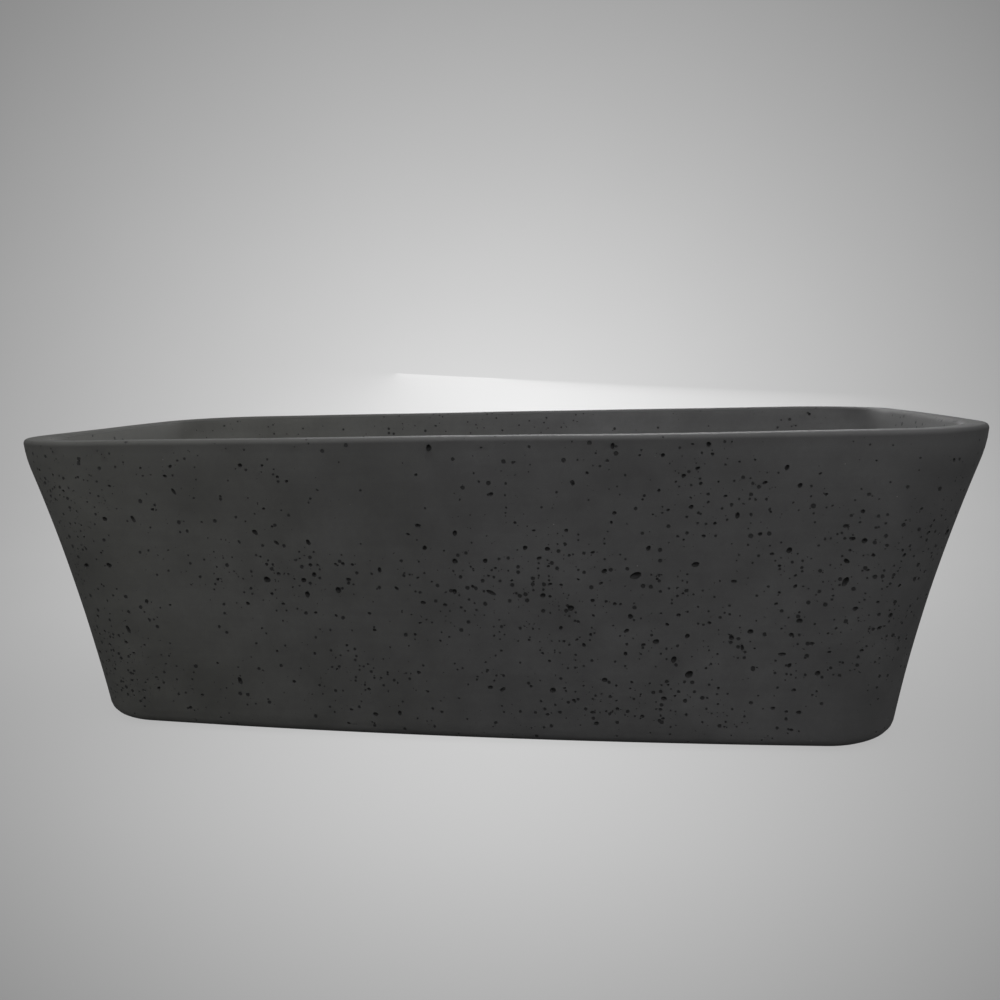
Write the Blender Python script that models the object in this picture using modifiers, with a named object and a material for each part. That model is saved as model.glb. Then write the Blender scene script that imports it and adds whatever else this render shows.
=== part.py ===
"""Freestanding bathtub: a thick concrete casting on levelling feet, with a click-clack waste and a low trap.

The casting is a double-ended trough. Its ends flare outwards as they rise and its long sides bow a little.
A recess under its floor holds the waste, the trap and the feet, so that nothing shows from outside.
Metres, +Z up, X along the bath, origin on the floor under the middle of the bath.
"""

import math

import bmesh
import bpy

# The casting, overall
LENGTH = 1.800
WIDTH = 0.850
HEIGHT = 0.550
BASE_LENGTH = 1.540
BASE_WIDTH = 0.800
EDGE_GAP = 0.008  # from the floor to the casting's lower edge
WALL = 0.045
RECESS_HEIGHT = 0.120  # from the floor to the underside of the casting's slab
FLOOR_THICKNESS = 0.045

# The casting, in detail
RIM_CORNER = 0.180
BASE_CORNER = 0.135
SIDE_BOW = 0.025
END_BOW = 0.015
FLARE_CURVE = 0.40  # 0 is a straight flare, 1 starts upright and flares only near the rim
RIM_EASE = 0.060  # height below the rim over which the flare eases back to upright
RIM_ROUND = 0.014
BASE_ROUND = 0.020
COVE = 0.085  # radius where the basin's walls meet its floor
FALL = 0.006  # how far the basin's floor drops towards the waste
RECESS_WALL = 0.050
RECESS_COVE = 0.020
LEAST_CORNER = 0.020

# Levelling feet, on M12 studs
FOOT_INSET_X = 0.190  # from the base's end to a foot's axis
FOOT_INSET_Y = 0.150
STUD_RADIUS = 0.0060
STUD_CHAMFER = 0.0010
SOCKET_RADIUS = 0.0100
SOCKET_WAIST = 0.0015  # depth of the groove that keys the socket into the concrete
SOCKET_DEPTH = 0.030
SOCKET_ROOF = 0.003
STUD_IN_SOCKET = 0.022
COLLAR_FLATS = 0.017
COLLAR_HEIGHT = 0.010
LOCKNUT_FLATS = 0.019
LOCKNUT_HEIGHT = 0.007
BALL_RADIUS = 0.0080
BALL_GRIP = 0.0045  # how far the pad's seat rises past the ball's centre
PAD_RADIUS = 0.030
PAD_SOLE = 0.005
PAD_BOSS = 0.0045  # thickness of the boss round the ball
PAD_FLANK = 0.0030

# Waste fitting
TUBE_RADIUS = 0.0240
TUBE_WALL = 0.0030
HOLE_CLEARANCE = 0.0020  # round the waste's tube in the concrete
FLANGE_STEP = 0.0060  # from the tube out to the flange's body, and from there out to its rim
FLANGE_RIM = 0.0030
FLANGE_DEPTH = 0.0090
FLANGE_SUNK = 0.0005  # flange's top below the basin's floor
SEAL = 0.0022  # thickness of the flat rubber seals
DISH_EDGE = 0.0045
DISH_DEPTH = 0.0060
GASKET = 0.0050
GASKET_MARGIN = 0.0010  # beyond the back nut's corners
SLIP_WASHER = 0.0015
BACK_NUT_HEIGHT = 0.0090
BACK_NUT_WALL = 0.0080
SPIDER_TOP = 0.0240  # below the basin's floor
SPIDER_HEIGHT = 0.0080
SPOKES = 3
SPOKE_WIDTH = 0.0030

# Click-clack plug
PLUG_TRAVEL = 0.009
CAP_CLEARANCE = 0.0015  # between the cap's edge and the dish
CAP_EDGE = 0.0015
CAP_DOME = 0.0045
CAP_HUB_RADIUS = 0.0085
CAP_HUB_DEPTH = 0.0080
PLUG_SEAL = 0.0024
PLUNGER_RADIUS = 0.0040
PLUNGER_FOOT_RADIUS = 0.0058
PLUNGER_FOOT = 0.0030
CARTRIDGE_WALL = 0.0030
CARTRIDGE_TOP = 0.0180  # below the basin's floor
CARTRIDGE_BASE = 0.0025
CARTRIDGE_SPARE = 0.0049  # left above the plunger's foot when the plug is up
CARTRIDGE_DRAIN = 0.0020
COLLAR_RING = 0.0028
SPRING_LENGTH = 0.0130
SPRING_WIRE = 0.0006
SPRING_TURNS = 5

# Trap
NUT_SPACE = 0.0018  # between the back nut and the coupling nut
COUPLING_GRIP = 0.0100  # length of the waste's tube inside the coupling nut
COUPLING_WALL = 0.0070
COUPLING_LIP = 0.0030
DIP_COLLAR_STEP = 0.0035
DIP_COLLAR = 0.0024
DIP_WALL = 0.0025
DIP_SPACE = 0.0062  # under the dip pipe's open end
POT_SPACE = 0.0010  # between the coupling nut and the pot
POT_RADIUS = 0.0520
POT_WALL = 0.0030
TRAP_FLOOR_GAP = 0.0060
CLEANING_CAP_FLOOR = 0.0030
CLEANING_CAP_WALL = 0.0040
CLEANING_CAP_GRIP = 0.0080
CLEANING_CAP_SEAL_WIDTH = 0.0050
RIB_HEIGHT = 0.0040
RIB_WIDTH = 0.0060

# Outlet
PIPE_RADIUS = 0.0200
PIPE_WALL = 0.0020
PIPE_GRIP = 0.0200  # length of pipe inside the trap's stub
PIPE_LENGTH = 0.1180  # straight length beyond the stub
PIPE_END = 0.0080  # height of the pipe's open end
BEND_INSIDE = 0.0050
STUB_WALL = 0.0040
STUB_DROP = 0.0010  # from the pot's top down to the stub's
STUB_LENGTH = 0.0300
OUTLET_NUT_WALL = 0.0074
OUTLET_NUT_GRIP = 0.0150
OUTLET_NUT_LIP = 0.0040

# Clearances and mesh fineness
GAP = 0.0003  # between touching pieces
SLIDE_GAP = 0.0005  # between sliding pieces
END_STEPS, CORNER_STEPS, SIDE_STEPS = 3, 5, 5
WALL_STEPS = 7
ARC_STEPS = 4
FINE, COARSE = 24, 12  # sides of large and small turned pieces
PIPE_BEVEL, BEND_STEPS = 6, 5

# Worked out from the sizes above: the slab, the waste and the plug
SQRT3 = math.sqrt(3)
SLAB_UNDERSIDE = RECESS_HEIGHT
BASIN_FLOOR = RECESS_HEIGHT + FLOOR_THICKNESS  # the basin's lowest point
FLANGE_TOP = BASIN_FLOOR - FLANGE_SUNK
FLANGE_BODY_RADIUS = TUBE_RADIUS + FLANGE_STEP
FLANGE_RADIUS = FLANGE_BODY_RADIUS + FLANGE_STEP
DISH_RADIUS = FLANGE_RADIUS - DISH_EDGE
TUBE_BORE = TUBE_RADIUS - TUBE_WALL
BACK_NUT_FLATS = 2 * (TUBE_RADIUS + BACK_NUT_WALL)
GASKET_RADIUS = BACK_NUT_FLATS / SQRT3 + GASKET_MARGIN
BACK_NUT_BASE = SLAB_UNDERSIDE - GASKET - SLIP_WASHER - BACK_NUT_HEIGHT - 3 * GAP
TUBE_END = BACK_NUT_BASE - NUT_SPACE - COUPLING_GRIP
CAP_RADIUS = DISH_RADIUS - CAP_CLEARANCE
CARTRIDGE_BORE = PLUNGER_FOOT_RADIUS + SLIDE_GAP
CARTRIDGE_RADIUS = CARTRIDGE_BORE + CARTRIDGE_WALL
CARTRIDGE_LENGTH = CARTRIDGE_BASE + SPRING_LENGTH + 2 * GAP + PLUNGER_FOOT + PLUG_TRAVEL + CARTRIDGE_SPARE
PLUNGER_BASE = BASIN_FLOOR - CARTRIDGE_TOP - CARTRIDGE_LENGTH + CARTRIDGE_BASE + SPRING_LENGTH + 2 * GAP

# Worked out from the sizes above: the trap and its outlet
DIP_COLLAR_RADIUS = TUBE_RADIUS - SLIDE_GAP
DIP_RADIUS = DIP_COLLAR_RADIUS - DIP_COLLAR_STEP
DIP_COLLAR_TOP = TUBE_END - SEAL - 2 * GAP
COUPLING_SEAT = DIP_COLLAR_TOP - DIP_COLLAR - GAP
POT_TOP = COUPLING_SEAT - COUPLING_LIP - POT_SPACE
CLEANING_CAP_BASE = TRAP_FLOOR_GAP + RIB_HEIGHT
POT_FOOT = CLEANING_CAP_BASE + CLEANING_CAP_FLOOR + SEAL + 2 * GAP
STUB_BORE = PIPE_RADIUS + GAP
STUB_RADIUS = STUB_BORE + STUB_WALL
STUB_END = POT_RADIUS + STUB_LENGTH
OUTLET_HEIGHT = POT_TOP - STUB_DROP - STUB_RADIUS
PIPE_BEND = PIPE_RADIUS + BEND_INSIDE


# ---------------------------------------------------------------- building helpers


def clear_scene():
    for obj in list(bpy.data.objects):
        bpy.data.objects.remove(obj)


def new_collection(name):
    collection = bpy.data.collections.new(name)
    bpy.context.scene.collection.children.link(collection)
    return collection


def new_material(name, colour, roughness, metallic=0.0):
    material = bpy.data.materials.new(name)
    material.use_nodes = True
    shader = material.node_tree.nodes["Principled BSDF"]
    shader.inputs["Base Color"].default_value = (*colour, 1.0)
    shader.inputs["Roughness"].default_value = roughness
    shader.inputs["Metallic"].default_value = metallic
    return material


def add_mesh(name, mesh, material, collection):
    obj = bpy.data.objects.new(name, mesh)
    mesh.materials.append(material)
    collection.objects.link(obj)
    return obj


def as_cutter(obj):
    """Marks a helper that only cuts or joins, so that it isn't a piece."""
    obj.hide_render = True
    obj.display_type = "WIRE"
    return obj


def combine(obj, helper, operation):
    """Cuts or joins a helper into obj with an exact Boolean, and keeps the helper in place."""
    as_cutter(helper)
    modifier = obj.modifiers.new(operation.lower() + "_" + helper.name, "BOOLEAN")
    modifier.operation = operation
    modifier.object = helper
    modifier.solver = "EXACT"


def turned(name, profile, material, collection, sides=FINE, closed=True):
    """A turned piece. The profile's (radius, height) points run down its outer side.
    A closed profile makes a ring; an open one starts and ends on the axis."""
    mesh = bpy.data.meshes.new(name)
    edges = [(i, i + 1) for i in range(len(profile) - 1)]
    if closed:
        edges.append((len(profile) - 1, 0))
    mesh.from_pydata([(radius, 0, height) for radius, height in profile], edges, [])
    obj = add_mesh(name, mesh, material, collection)
    screw = obj.modifiers.new("turn", "SCREW")
    screw.steps = screw.render_steps = sides
    screw.use_merge_vertices = True
    screw.merge_threshold = 0.00001
    screw.use_smooth_shade = False
    return obj


def ring(name, inner, outer, bottom, top, material, collection, sides=FINE):
    """A plain washer or sleeve of rectangular section."""
    profile = [(outer, top), (outer, bottom), (inner, bottom), (inner, top)]
    return turned(name, profile, material, collection, sides)


def disc(name, radius, bottom, top, material, collection, sides=FINE):
    """A plain solid cylinder on the Z axis."""
    profile = [(0, top), (radius, top), (radius, bottom), (0, bottom)]
    return turned(name, profile, material, collection, sides, closed=False)


def hexagon(name, flats, bottom, top, material, collection):
    """A hexagonal prism on the Z axis, its size given across its flats."""
    mesh = bpy.data.meshes.new(name)
    shape = bmesh.new()
    bmesh.ops.create_cone(
        shape, cap_ends=True, segments=6, radius1=flats / SQRT3, radius2=flats / SQRT3, depth=top - bottom
    )
    bmesh.ops.translate(shape, verts=shape.verts, vec=(0, 0, (top + bottom) / 2))
    shape.to_mesh(mesh)
    shape.free()
    return add_mesh(name, mesh, material, collection)


def block(name, size, centre, material, collection):
    """A box of the given size on a given centre."""
    mesh = bpy.data.meshes.new(name)
    shape = bmesh.new()
    bmesh.ops.create_cube(shape, size=1.0)
    bmesh.ops.scale(shape, verts=shape.verts, vec=size)
    bmesh.ops.translate(shape, verts=shape.verts, vec=centre)
    shape.to_mesh(mesh)
    shape.free()
    return add_mesh(name, mesh, material, collection)


def arc(steps):
    """Angles from 0 to a right angle, ends included."""
    return [math.pi / 2 * i / steps for i in range(steps + 1)]


# ---------------------------------------------------------------- the casting


def section(half_length, half_width, corner, height, bow=1.0):
    """One level section of the bath: a rounded rectangle whose sides bow outwards, counter-clockwise."""
    end_bow, side_bow = END_BOW * bow, SIDE_BOW * bow
    a, b = half_length - end_bow, half_width - side_bow
    quarter = [(a, (b - corner) * i / END_STEPS) for i in range(END_STEPS)]
    quarter += [
        (a - corner + corner * math.cos(t), b - corner + corner * math.sin(t)) for t in arc(CORNER_STEPS)
    ]
    quarter += [((a - corner) * (1 - i / SIDE_STEPS), b) for i in range(1, SIDE_STEPS + 1)]
    bowed = [
        (x * (1 + end_bow / a * (1 - (y / b) ** 2)), y * (1 + side_bow / b * (1 - (x / a) ** 2)))
        for x, y in quarter
    ]
    upper = bowed + [(-x, y) for x, y in bowed[-2::-1]]
    lower = [(x, -y) for x, y in upper[-2:0:-1]]
    return [(x, y, height) for x, y in upper + lower]


def flare(height):
    """Share of the way from the base's size to the rim's at a height: a curved flare that ends upright."""
    rise = HEIGHT - EDGE_GAP

    def free(t):
        return (1 - FLARE_CURVE) * t + FLARE_CURVE * t * t

    ease_start = 1 - RIM_EASE / rise
    slope = (1 - FLARE_CURVE) + 2 * FLARE_CURVE * ease_start
    most = free(ease_start) + slope * (1 - ease_start) / 2
    t = (height - EDGE_GAP) / rise
    if t <= ease_start:
        return free(t) / most
    u = (t - ease_start) / (1 - ease_start)
    return (free(ease_start) + slope * (1 - ease_start) * (u - u * u / 2)) / most


def outside(height, inset=0.0):
    """Half length, half width and corner radius of the casting at a height, taken in by an inset."""
    share = flare(height)
    half_length = (BASE_LENGTH + (LENGTH - BASE_LENGTH) * share) / 2
    half_width = (BASE_WIDTH + (WIDTH - BASE_WIDTH) * share) / 2
    corner = BASE_CORNER + (RIM_CORNER - BASE_CORNER) * share
    return half_length - inset, half_width - inset, max(corner - inset, LEAST_CORNER)


def recess_sections():
    """The recess under the floor, from its ceiling down to the lower edge."""
    wall = [outside(EDGE_GAP, RECESS_WALL + RECESS_COVE * (1 - math.sin(t))) for t in arc(ARC_STEPS)]
    rise = [SLAB_UNDERSIDE - RECESS_COVE * (1 - math.cos(t)) for t in arc(ARC_STEPS)]
    sections = [section(*size, height) for size, height in zip(wall, rise)]
    return sections + [section(*outside(EDGE_GAP, RECESS_WALL), EDGE_GAP)]


def outer_sections():
    """The outer wall, from the rounded lower edge up to where the rim's rounding starts."""
    sections = []
    for t in arc(ARC_STEPS):
        height = EDGE_GAP + BASE_ROUND * (1 - math.cos(t))
        sections.append(section(*outside(height, BASE_ROUND * (1 - math.sin(t))), height))
    low, high = EDGE_GAP + BASE_ROUND, HEIGHT - RIM_EASE
    sections += wall_sections(low, high, WALL_STEPS, 0)
    return sections + wall_sections(high, HEIGHT - RIM_ROUND, ARC_STEPS, 0)


def wall_sections(start, end, steps, inset):
    """Sections of a wall after its start height, up or down to its end height."""
    heights = [start + (end - start) * i / steps for i in range(1, steps + 1)]
    return [section(*outside(height, inset), height) for height in heights]


def rim_sections():
    """The rounded rim: over its outer edge, across its top and down its inner edge."""
    outer = [(RIM_ROUND * (1 - math.cos(t)), RIM_ROUND * math.sin(t)) for t in arc(ARC_STEPS)[1:]]
    inner = [(WALL - inset, rise) for inset, rise in reversed(outer)]
    inner.append((WALL, 0.0))
    base = HEIGHT - RIM_ROUND
    return [section(*outside(base + rise, inset), base + rise) for inset, rise in outer + inner]


def basin_sections():
    """The basin: down the inner wall, round the cove and in over the sloping floor."""
    cove_bottom = BASIN_FLOOR + FALL
    cove_top = cove_bottom + COVE
    high = HEIGHT - RIM_EASE
    sections = wall_sections(HEIGHT - RIM_ROUND, high, 2, WALL)
    sections += wall_sections(high, cove_top, WALL_STEPS, WALL)
    for t in arc(ARC_STEPS + 1)[1:]:
        height = cove_top - COVE * math.sin(t)
        sections.append(section(*outside(height, WALL + COVE * (1 - math.cos(t))), height))
    well = FLANGE_RADIUS * 2
    sections.append(section(well, well, well / 2, BASIN_FLOOR, bow=0.0))
    return sections


def casting_mesh():
    """Skins the sections into one closed surface, from the recess's ceiling to the basin's floor."""
    rings = recess_sections() + outer_sections() + rim_sections() + basin_sections()
    shape = bmesh.new()
    loops = [[shape.verts.new(point) for point in points] for points in rings]
    count = len(loops[0])
    for lower, upper in zip(loops, loops[1:]):
        for i in range(count):
            j = (i + 1) % count
            shape.faces.new((lower[i], lower[j], upper[j], upper[i]))
    shape.faces.new(list(reversed(loops[0])))
    shape.faces.new(loops[-1])
    bmesh.ops.recalc_face_normals(shape, faces=shape.faces)
    mesh = bpy.data.meshes.new("tub_shell")
    shape.to_mesh(mesh)
    shape.free()
    mesh.shade_smooth()
    mesh.set_sharp_from_angle(angle=math.radians(40))
    return mesh


def waste_hole(material, cutters):
    """The stepped hole that the waste's flange, its body and its tube sit in."""
    seat = FLANGE_TOP - FLANGE_RIM - SEAL - 2 * GAP
    body = FLANGE_TOP - FLANGE_DEPTH - GAP
    wide, mid, bore = FLANGE_RADIUS + SLIDE_GAP, FLANGE_BODY_RADIUS + SLIDE_GAP, TUBE_RADIUS + HOLE_CLEARANCE
    above, below = BASIN_FLOOR + FLANGE_DEPTH, SLAB_UNDERSIDE - FLANGE_DEPTH
    profile = [(0, above), (wide, above), (wide, seat), (mid, seat), (mid, body), (bore, body)]
    profile += [(bore, below), (0, below)]
    return turned("waste_hole", profile, material, cutters, FINE, closed=False)


def make_casting(materials, parts, cutters):
    shell = add_mesh("tub_shell", casting_mesh(), materials["concrete"], parts)
    combine(shell, waste_hole(materials["concrete"], cutters), "DIFFERENCE")
    for i, (x, y) in enumerate(foot_places(), 1):
        hole = disc(
            f"socket_hole_{i}",
            SOCKET_RADIUS + GAP,
            SLAB_UNDERSIDE - SOCKET_DEPTH,
            SLAB_UNDERSIDE + SOCKET_DEPTH + GAP,
            materials["concrete"],
            cutters,
            COARSE,
        )
        hole.location = (x, y, 0)
        combine(shell, hole, "DIFFERENCE")


# ---------------------------------------------------------------- levelling feet


def foot_places():
    x, y = BASE_LENGTH / 2 - FOOT_INSET_X, BASE_WIDTH / 2 - FOOT_INSET_Y
    return [(-x, -y), (x, -y), (x, y), (-x, y)]


def make_socket(number, material, parts):
    """The threaded socket cast into the slab, with a waist that keys it into the concrete."""
    top, bottom = SLAB_UNDERSIDE + SOCKET_DEPTH, SLAB_UNDERSIDE
    bore, roof = STUD_RADIUS + SLIDE_GAP, SLAB_UNDERSIDE + SOCKET_DEPTH - SOCKET_ROOF
    waist = SOCKET_RADIUS - SOCKET_WAIST
    upper, lower = top - SOCKET_DEPTH / 4, bottom + SOCKET_DEPTH / 4
    profile = [(0, top), (SOCKET_RADIUS, top), (SOCKET_RADIUS, upper), (waist, upper), (waist, lower)]
    profile += [(SOCKET_RADIUS, lower), (SOCKET_RADIUS, bottom), (bore, bottom), (bore, roof), (0, roof)]
    return turned(f"foot_socket_{number}", profile, material, parts, COARSE, closed=False)


def make_locknut(number, material, parts, cutters):
    top = SLAB_UNDERSIDE - GAP
    bottom = top - LOCKNUT_HEIGHT
    nut = hexagon(f"foot_locknut_{number}", LOCKNUT_FLATS, bottom, top, material, parts)
    radius, past = STUD_RADIUS + SLIDE_GAP, LOCKNUT_HEIGHT / 2
    bore = disc(f"locknut_bore_{number}", radius, bottom - past, top + past, material, cutters, COARSE)
    combine(nut, bore, "DIFFERENCE")
    return nut, bore


def ball_arc(radius, centre, start, end, steps):
    """Points of a ball's outline, by angle from straight up, as (radius, height)."""
    angles = [start + (end - start) * i / steps for i in range(steps + 1)]
    return [(radius * math.sin(a), centre + radius * math.cos(a)) for a in angles]


def make_stud(number, material, parts, cutters):
    """The stud: thread above, hexagonal collar under the locknut, ball below in the pad."""
    centre = PAD_SOLE + GAP + BALL_RADIUS
    neck = math.asin(STUD_RADIUS * 0.8 / BALL_RADIUS)
    top = SLAB_UNDERSIDE + STUD_IN_SOCKET
    profile = [(0, top), (STUD_RADIUS - STUD_CHAMFER, top), (STUD_RADIUS, top - STUD_CHAMFER)]
    profile += [(STUD_RADIUS, centre + BALL_RADIUS + STUD_RADIUS / 2)]
    profile += ball_arc(BALL_RADIUS, centre, neck, math.pi, 6)
    profile[-1] = (0, centre - BALL_RADIUS)
    stud = turned(f"foot_stud_{number}", profile, material, parts, COARSE, closed=False)
    top = SLAB_UNDERSIDE - LOCKNUT_HEIGHT - 2 * GAP
    collar = hexagon(f"stud_collar_{number}", COLLAR_FLATS, top - COLLAR_HEIGHT, top, material, cutters)
    combine(stud, collar, "UNION")
    return stud, collar


def make_pad(number, material, parts):
    """The foot's pad: a broad sole, and a boss whose hollow ball seat holds the stud."""
    seat = BALL_RADIUS + GAP
    centre = PAD_SOLE + GAP + BALL_RADIUS
    height = centre + BALL_GRIP
    boss = BALL_RADIUS + PAD_BOSS
    chamfer = PAD_SOLE / 5
    hollow = ball_arc(seat, centre, math.pi, math.acos(BALL_GRIP / seat), 6)
    hollow[0] = (0, centre - seat)
    outline = hollow + [(boss, height), (boss + PAD_FLANK, PAD_SOLE + height / 4), (PAD_RADIUS, PAD_SOLE)]
    outline += [(PAD_RADIUS, chamfer), (PAD_RADIUS - chamfer, 0), (0, 0)]
    return turned(f"foot_pad_{number}", outline, material, parts, COARSE, closed=False)


def make_feet(materials, parts, cutters):
    for number, (x, y) in enumerate(foot_places(), 1):
        axis = bpy.data.objects.new(f"foot_axis_{number}", None)
        axis.location = (x, y, 0)
        parts.objects.link(axis)
        pieces = [make_socket(number, materials["brass"], parts)]
        pieces += make_locknut(number, materials["steel"], parts, cutters)
        pieces += make_stud(number, materials["steel"], parts, cutters)
        pieces.append(make_pad(number, materials["rubber"], parts))
        for piece in pieces:
            piece.parent = axis


# ---------------------------------------------------------------- waste and plug


def make_flange(materials, parts, cutters):
    """The waste's flange and tube, with a spider across the bore that carries the plug's cartridge."""
    top = FLANGE_TOP
    profile = [(FLANGE_RADIUS, top), (FLANGE_RADIUS, top - FLANGE_RIM)]
    profile += [(FLANGE_BODY_RADIUS, top - FLANGE_RIM), (FLANGE_BODY_RADIUS, top - FLANGE_DEPTH)]
    profile += [(TUBE_RADIUS, top - FLANGE_DEPTH), (TUBE_RADIUS, TUBE_END), (TUBE_BORE, TUBE_END)]
    profile += [(TUBE_BORE, top - DISH_DEPTH), (DISH_RADIUS, top)]
    flange = turned("waste_flange", profile, materials["brushed"], parts)
    high = BASIN_FLOOR - SPIDER_TOP
    low = high - SPIDER_HEIGHT
    bore = CARTRIDGE_RADIUS + GAP
    hub = disc("spider_hub", bore + TUBE_WALL, low, high, materials["brushed"], cutters)
    combine(flange, hub, "UNION")
    reach = TUBE_BORE + TUBE_WALL / 2
    for i in range(SPOKES):
        spoke = block(
            f"spider_spoke_{i + 1}",
            (reach, SPOKE_WIDTH, SPIDER_HEIGHT * 0.875),
            (reach / 2, 0, (high + low) / 2),
            materials["brushed"],
            cutters,
        )
        spoke.rotation_euler = (0, 0, math.tau * i / SPOKES)
        combine(flange, spoke, "UNION")
    past = SPIDER_HEIGHT / 2
    hub_bore = disc("spider_bore", bore, low - past, high + past, materials["brushed"], cutters)
    combine(flange, hub_bore, "DIFFERENCE")


def make_waste_fixings(materials, parts, cutters):
    """What clamps the waste to the slab, from the flange's seal down to the back nut."""
    seal_top = FLANGE_TOP - FLANGE_RIM - GAP
    inner = FLANGE_BODY_RADIUS + GAP
    ring("flange_seal", inner, FLANGE_RADIUS, seal_top - SEAL, seal_top, materials["rubber"], parts)
    tube = TUBE_RADIUS + GAP
    level = SLAB_UNDERSIDE - GAP
    for name, height, material in (
        ("under_gasket", GASKET, "rubber"),
        ("slip_washer", SLIP_WASHER, "white_plastic"),
    ):
        ring(name, tube, GASKET_RADIUS, level - height, level, materials[material], parts)
        level -= height + GAP
    black, past = materials["black_plastic"], BACK_NUT_HEIGHT / 2
    nut = hexagon("back_nut", BACK_NUT_FLATS, BACK_NUT_BASE, level, black, parts)
    bore = disc("back_nut_bore", tube, BACK_NUT_BASE - past, level + past, black, cutters)
    combine(nut, bore, "DIFFERENCE")


def make_plug(materials, parts):
    """The pieces that rise together: domed cap, its lip seal and the plunger."""
    axis = bpy.data.objects.new("plug_axis", None)
    axis.location = (0, 0, BASIN_FLOOR)
    parts.objects.link(axis)
    underside = -FLANGE_SUNK
    dome = [(CAP_RADIUS * math.sin(t), CAP_EDGE + CAP_DOME * math.cos(t)) for t in arc(6)]
    socket = PLUNGER_RADIUS + GAP
    profile = [(0, dome[0][1])] + dome[1:] + [(CAP_RADIUS, underside), (CAP_HUB_RADIUS, underside)]
    profile += [(CAP_HUB_RADIUS, -CAP_HUB_DEPTH), (socket, -CAP_HUB_DEPTH), (socket, 0), (0, 0)]
    cap = turned("plug_cap", profile, materials["brushed"], parts, closed=False)
    seal_top = underside - GAP
    slope = (DISH_RADIUS - TUBE_BORE) / DISH_DEPTH
    widest = DISH_RADIUS - slope * (GAP + SLIDE_GAP) - SLIDE_GAP
    narrow = widest - slope * PLUG_SEAL
    lip = [(widest, seal_top), (narrow, seal_top - PLUG_SEAL), (CAP_HUB_RADIUS + GAP, seal_top - PLUG_SEAL)]
    lip.append((CAP_HUB_RADIUS + GAP, seal_top))
    seal = turned("plug_seal", lip, materials["rubber"], parts)
    foot = PLUNGER_BASE - BASIN_FLOOR
    foot_top = foot + PLUNGER_FOOT
    stem = [(0, -GAP), (PLUNGER_RADIUS, -GAP), (PLUNGER_RADIUS, foot_top), (PLUNGER_FOOT_RADIUS, foot_top)]
    stem += [(PLUNGER_FOOT_RADIUS, foot), (0, foot)]
    plunger = turned("plug_plunger", stem, materials["brass"], parts, COARSE, closed=False)
    for piece in (cap, seal, plunger):
        piece.parent = axis


def make_cartridge(materials, parts):
    """The fixed cartridge that the plunger clicks in, its screwed collar and the spring."""
    top = BASIN_FLOOR - CARTRIDGE_TOP
    bottom = top - CARTRIDGE_LENGTH
    inside = bottom + CARTRIDGE_BASE
    profile = [(CARTRIDGE_RADIUS, top), (CARTRIDGE_RADIUS, bottom), (CARTRIDGE_DRAIN, bottom)]
    profile += [(CARTRIDGE_DRAIN, inside), (CARTRIDGE_BORE, inside), (CARTRIDGE_BORE, top)]
    turned("cartridge_body", profile, materials["white_plastic"], parts, COARSE)
    ring(
        "cartridge_collar",
        PLUNGER_RADIUS + SLIDE_GAP,
        CARTRIDGE_RADIUS,
        top + GAP,
        top + GAP + COLLAR_RING,
        materials["brass"],
        parts,
        COARSE,
    )
    make_spring(inside + GAP, PLUNGER_BASE - GAP, materials["steel"], parts)


def make_spring(bottom, top, material, parts):
    """The cartridge's coil spring, held between the cartridge's base and the plunger's foot."""
    coil = PLUNGER_FOOT_RADIUS - SPRING_WIRE - SLIDE_GAP
    sides = 10
    low, high = bottom + SPRING_WIRE, top - SPRING_WIRE
    count = SPRING_TURNS * sides
    curve = bpy.data.curves.new("plug_spring", "CURVE")
    curve.dimensions = "3D"
    curve.bevel_depth = SPRING_WIRE
    curve.bevel_resolution = 1
    curve.use_fill_caps = True
    spline = curve.splines.new("POLY")
    spline.points.add(count)
    for i, point in enumerate(spline.points):
        angle = math.tau * i / sides
        height = low + (high - low) * i / count
        point.co = (coil * math.cos(angle), coil * math.sin(angle), height, 1)
    curve.materials.append(material)
    parts.objects.link(bpy.data.objects.new("plug_spring", curve))


# ---------------------------------------------------------------- trap and outlet


def make_coupling(materials, parts):
    """The nut and washer that hold the trap's collar up against the end of the waste's tube."""
    top = TUBE_END - GAP
    bore = DIP_RADIUS - DIP_WALL + SLIDE_GAP
    ring("coupling_washer", bore, TUBE_RADIUS - GAP, top - SEAL, top, materials["rubber"], parts)
    top, base = TUBE_END + COUPLING_GRIP, COUPLING_SEAT - COUPLING_LIP
    outer, inner, lip = TUBE_RADIUS + COUPLING_WALL, TUBE_RADIUS + GAP, DIP_RADIUS + GAP
    profile = [(outer, top), (outer, base), (lip, base), (lip, COUPLING_SEAT), (inner, COUPLING_SEAT)]
    profile.append((inner, top))
    turned("coupling_nut", profile, materials["white_plastic"], parts)


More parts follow.
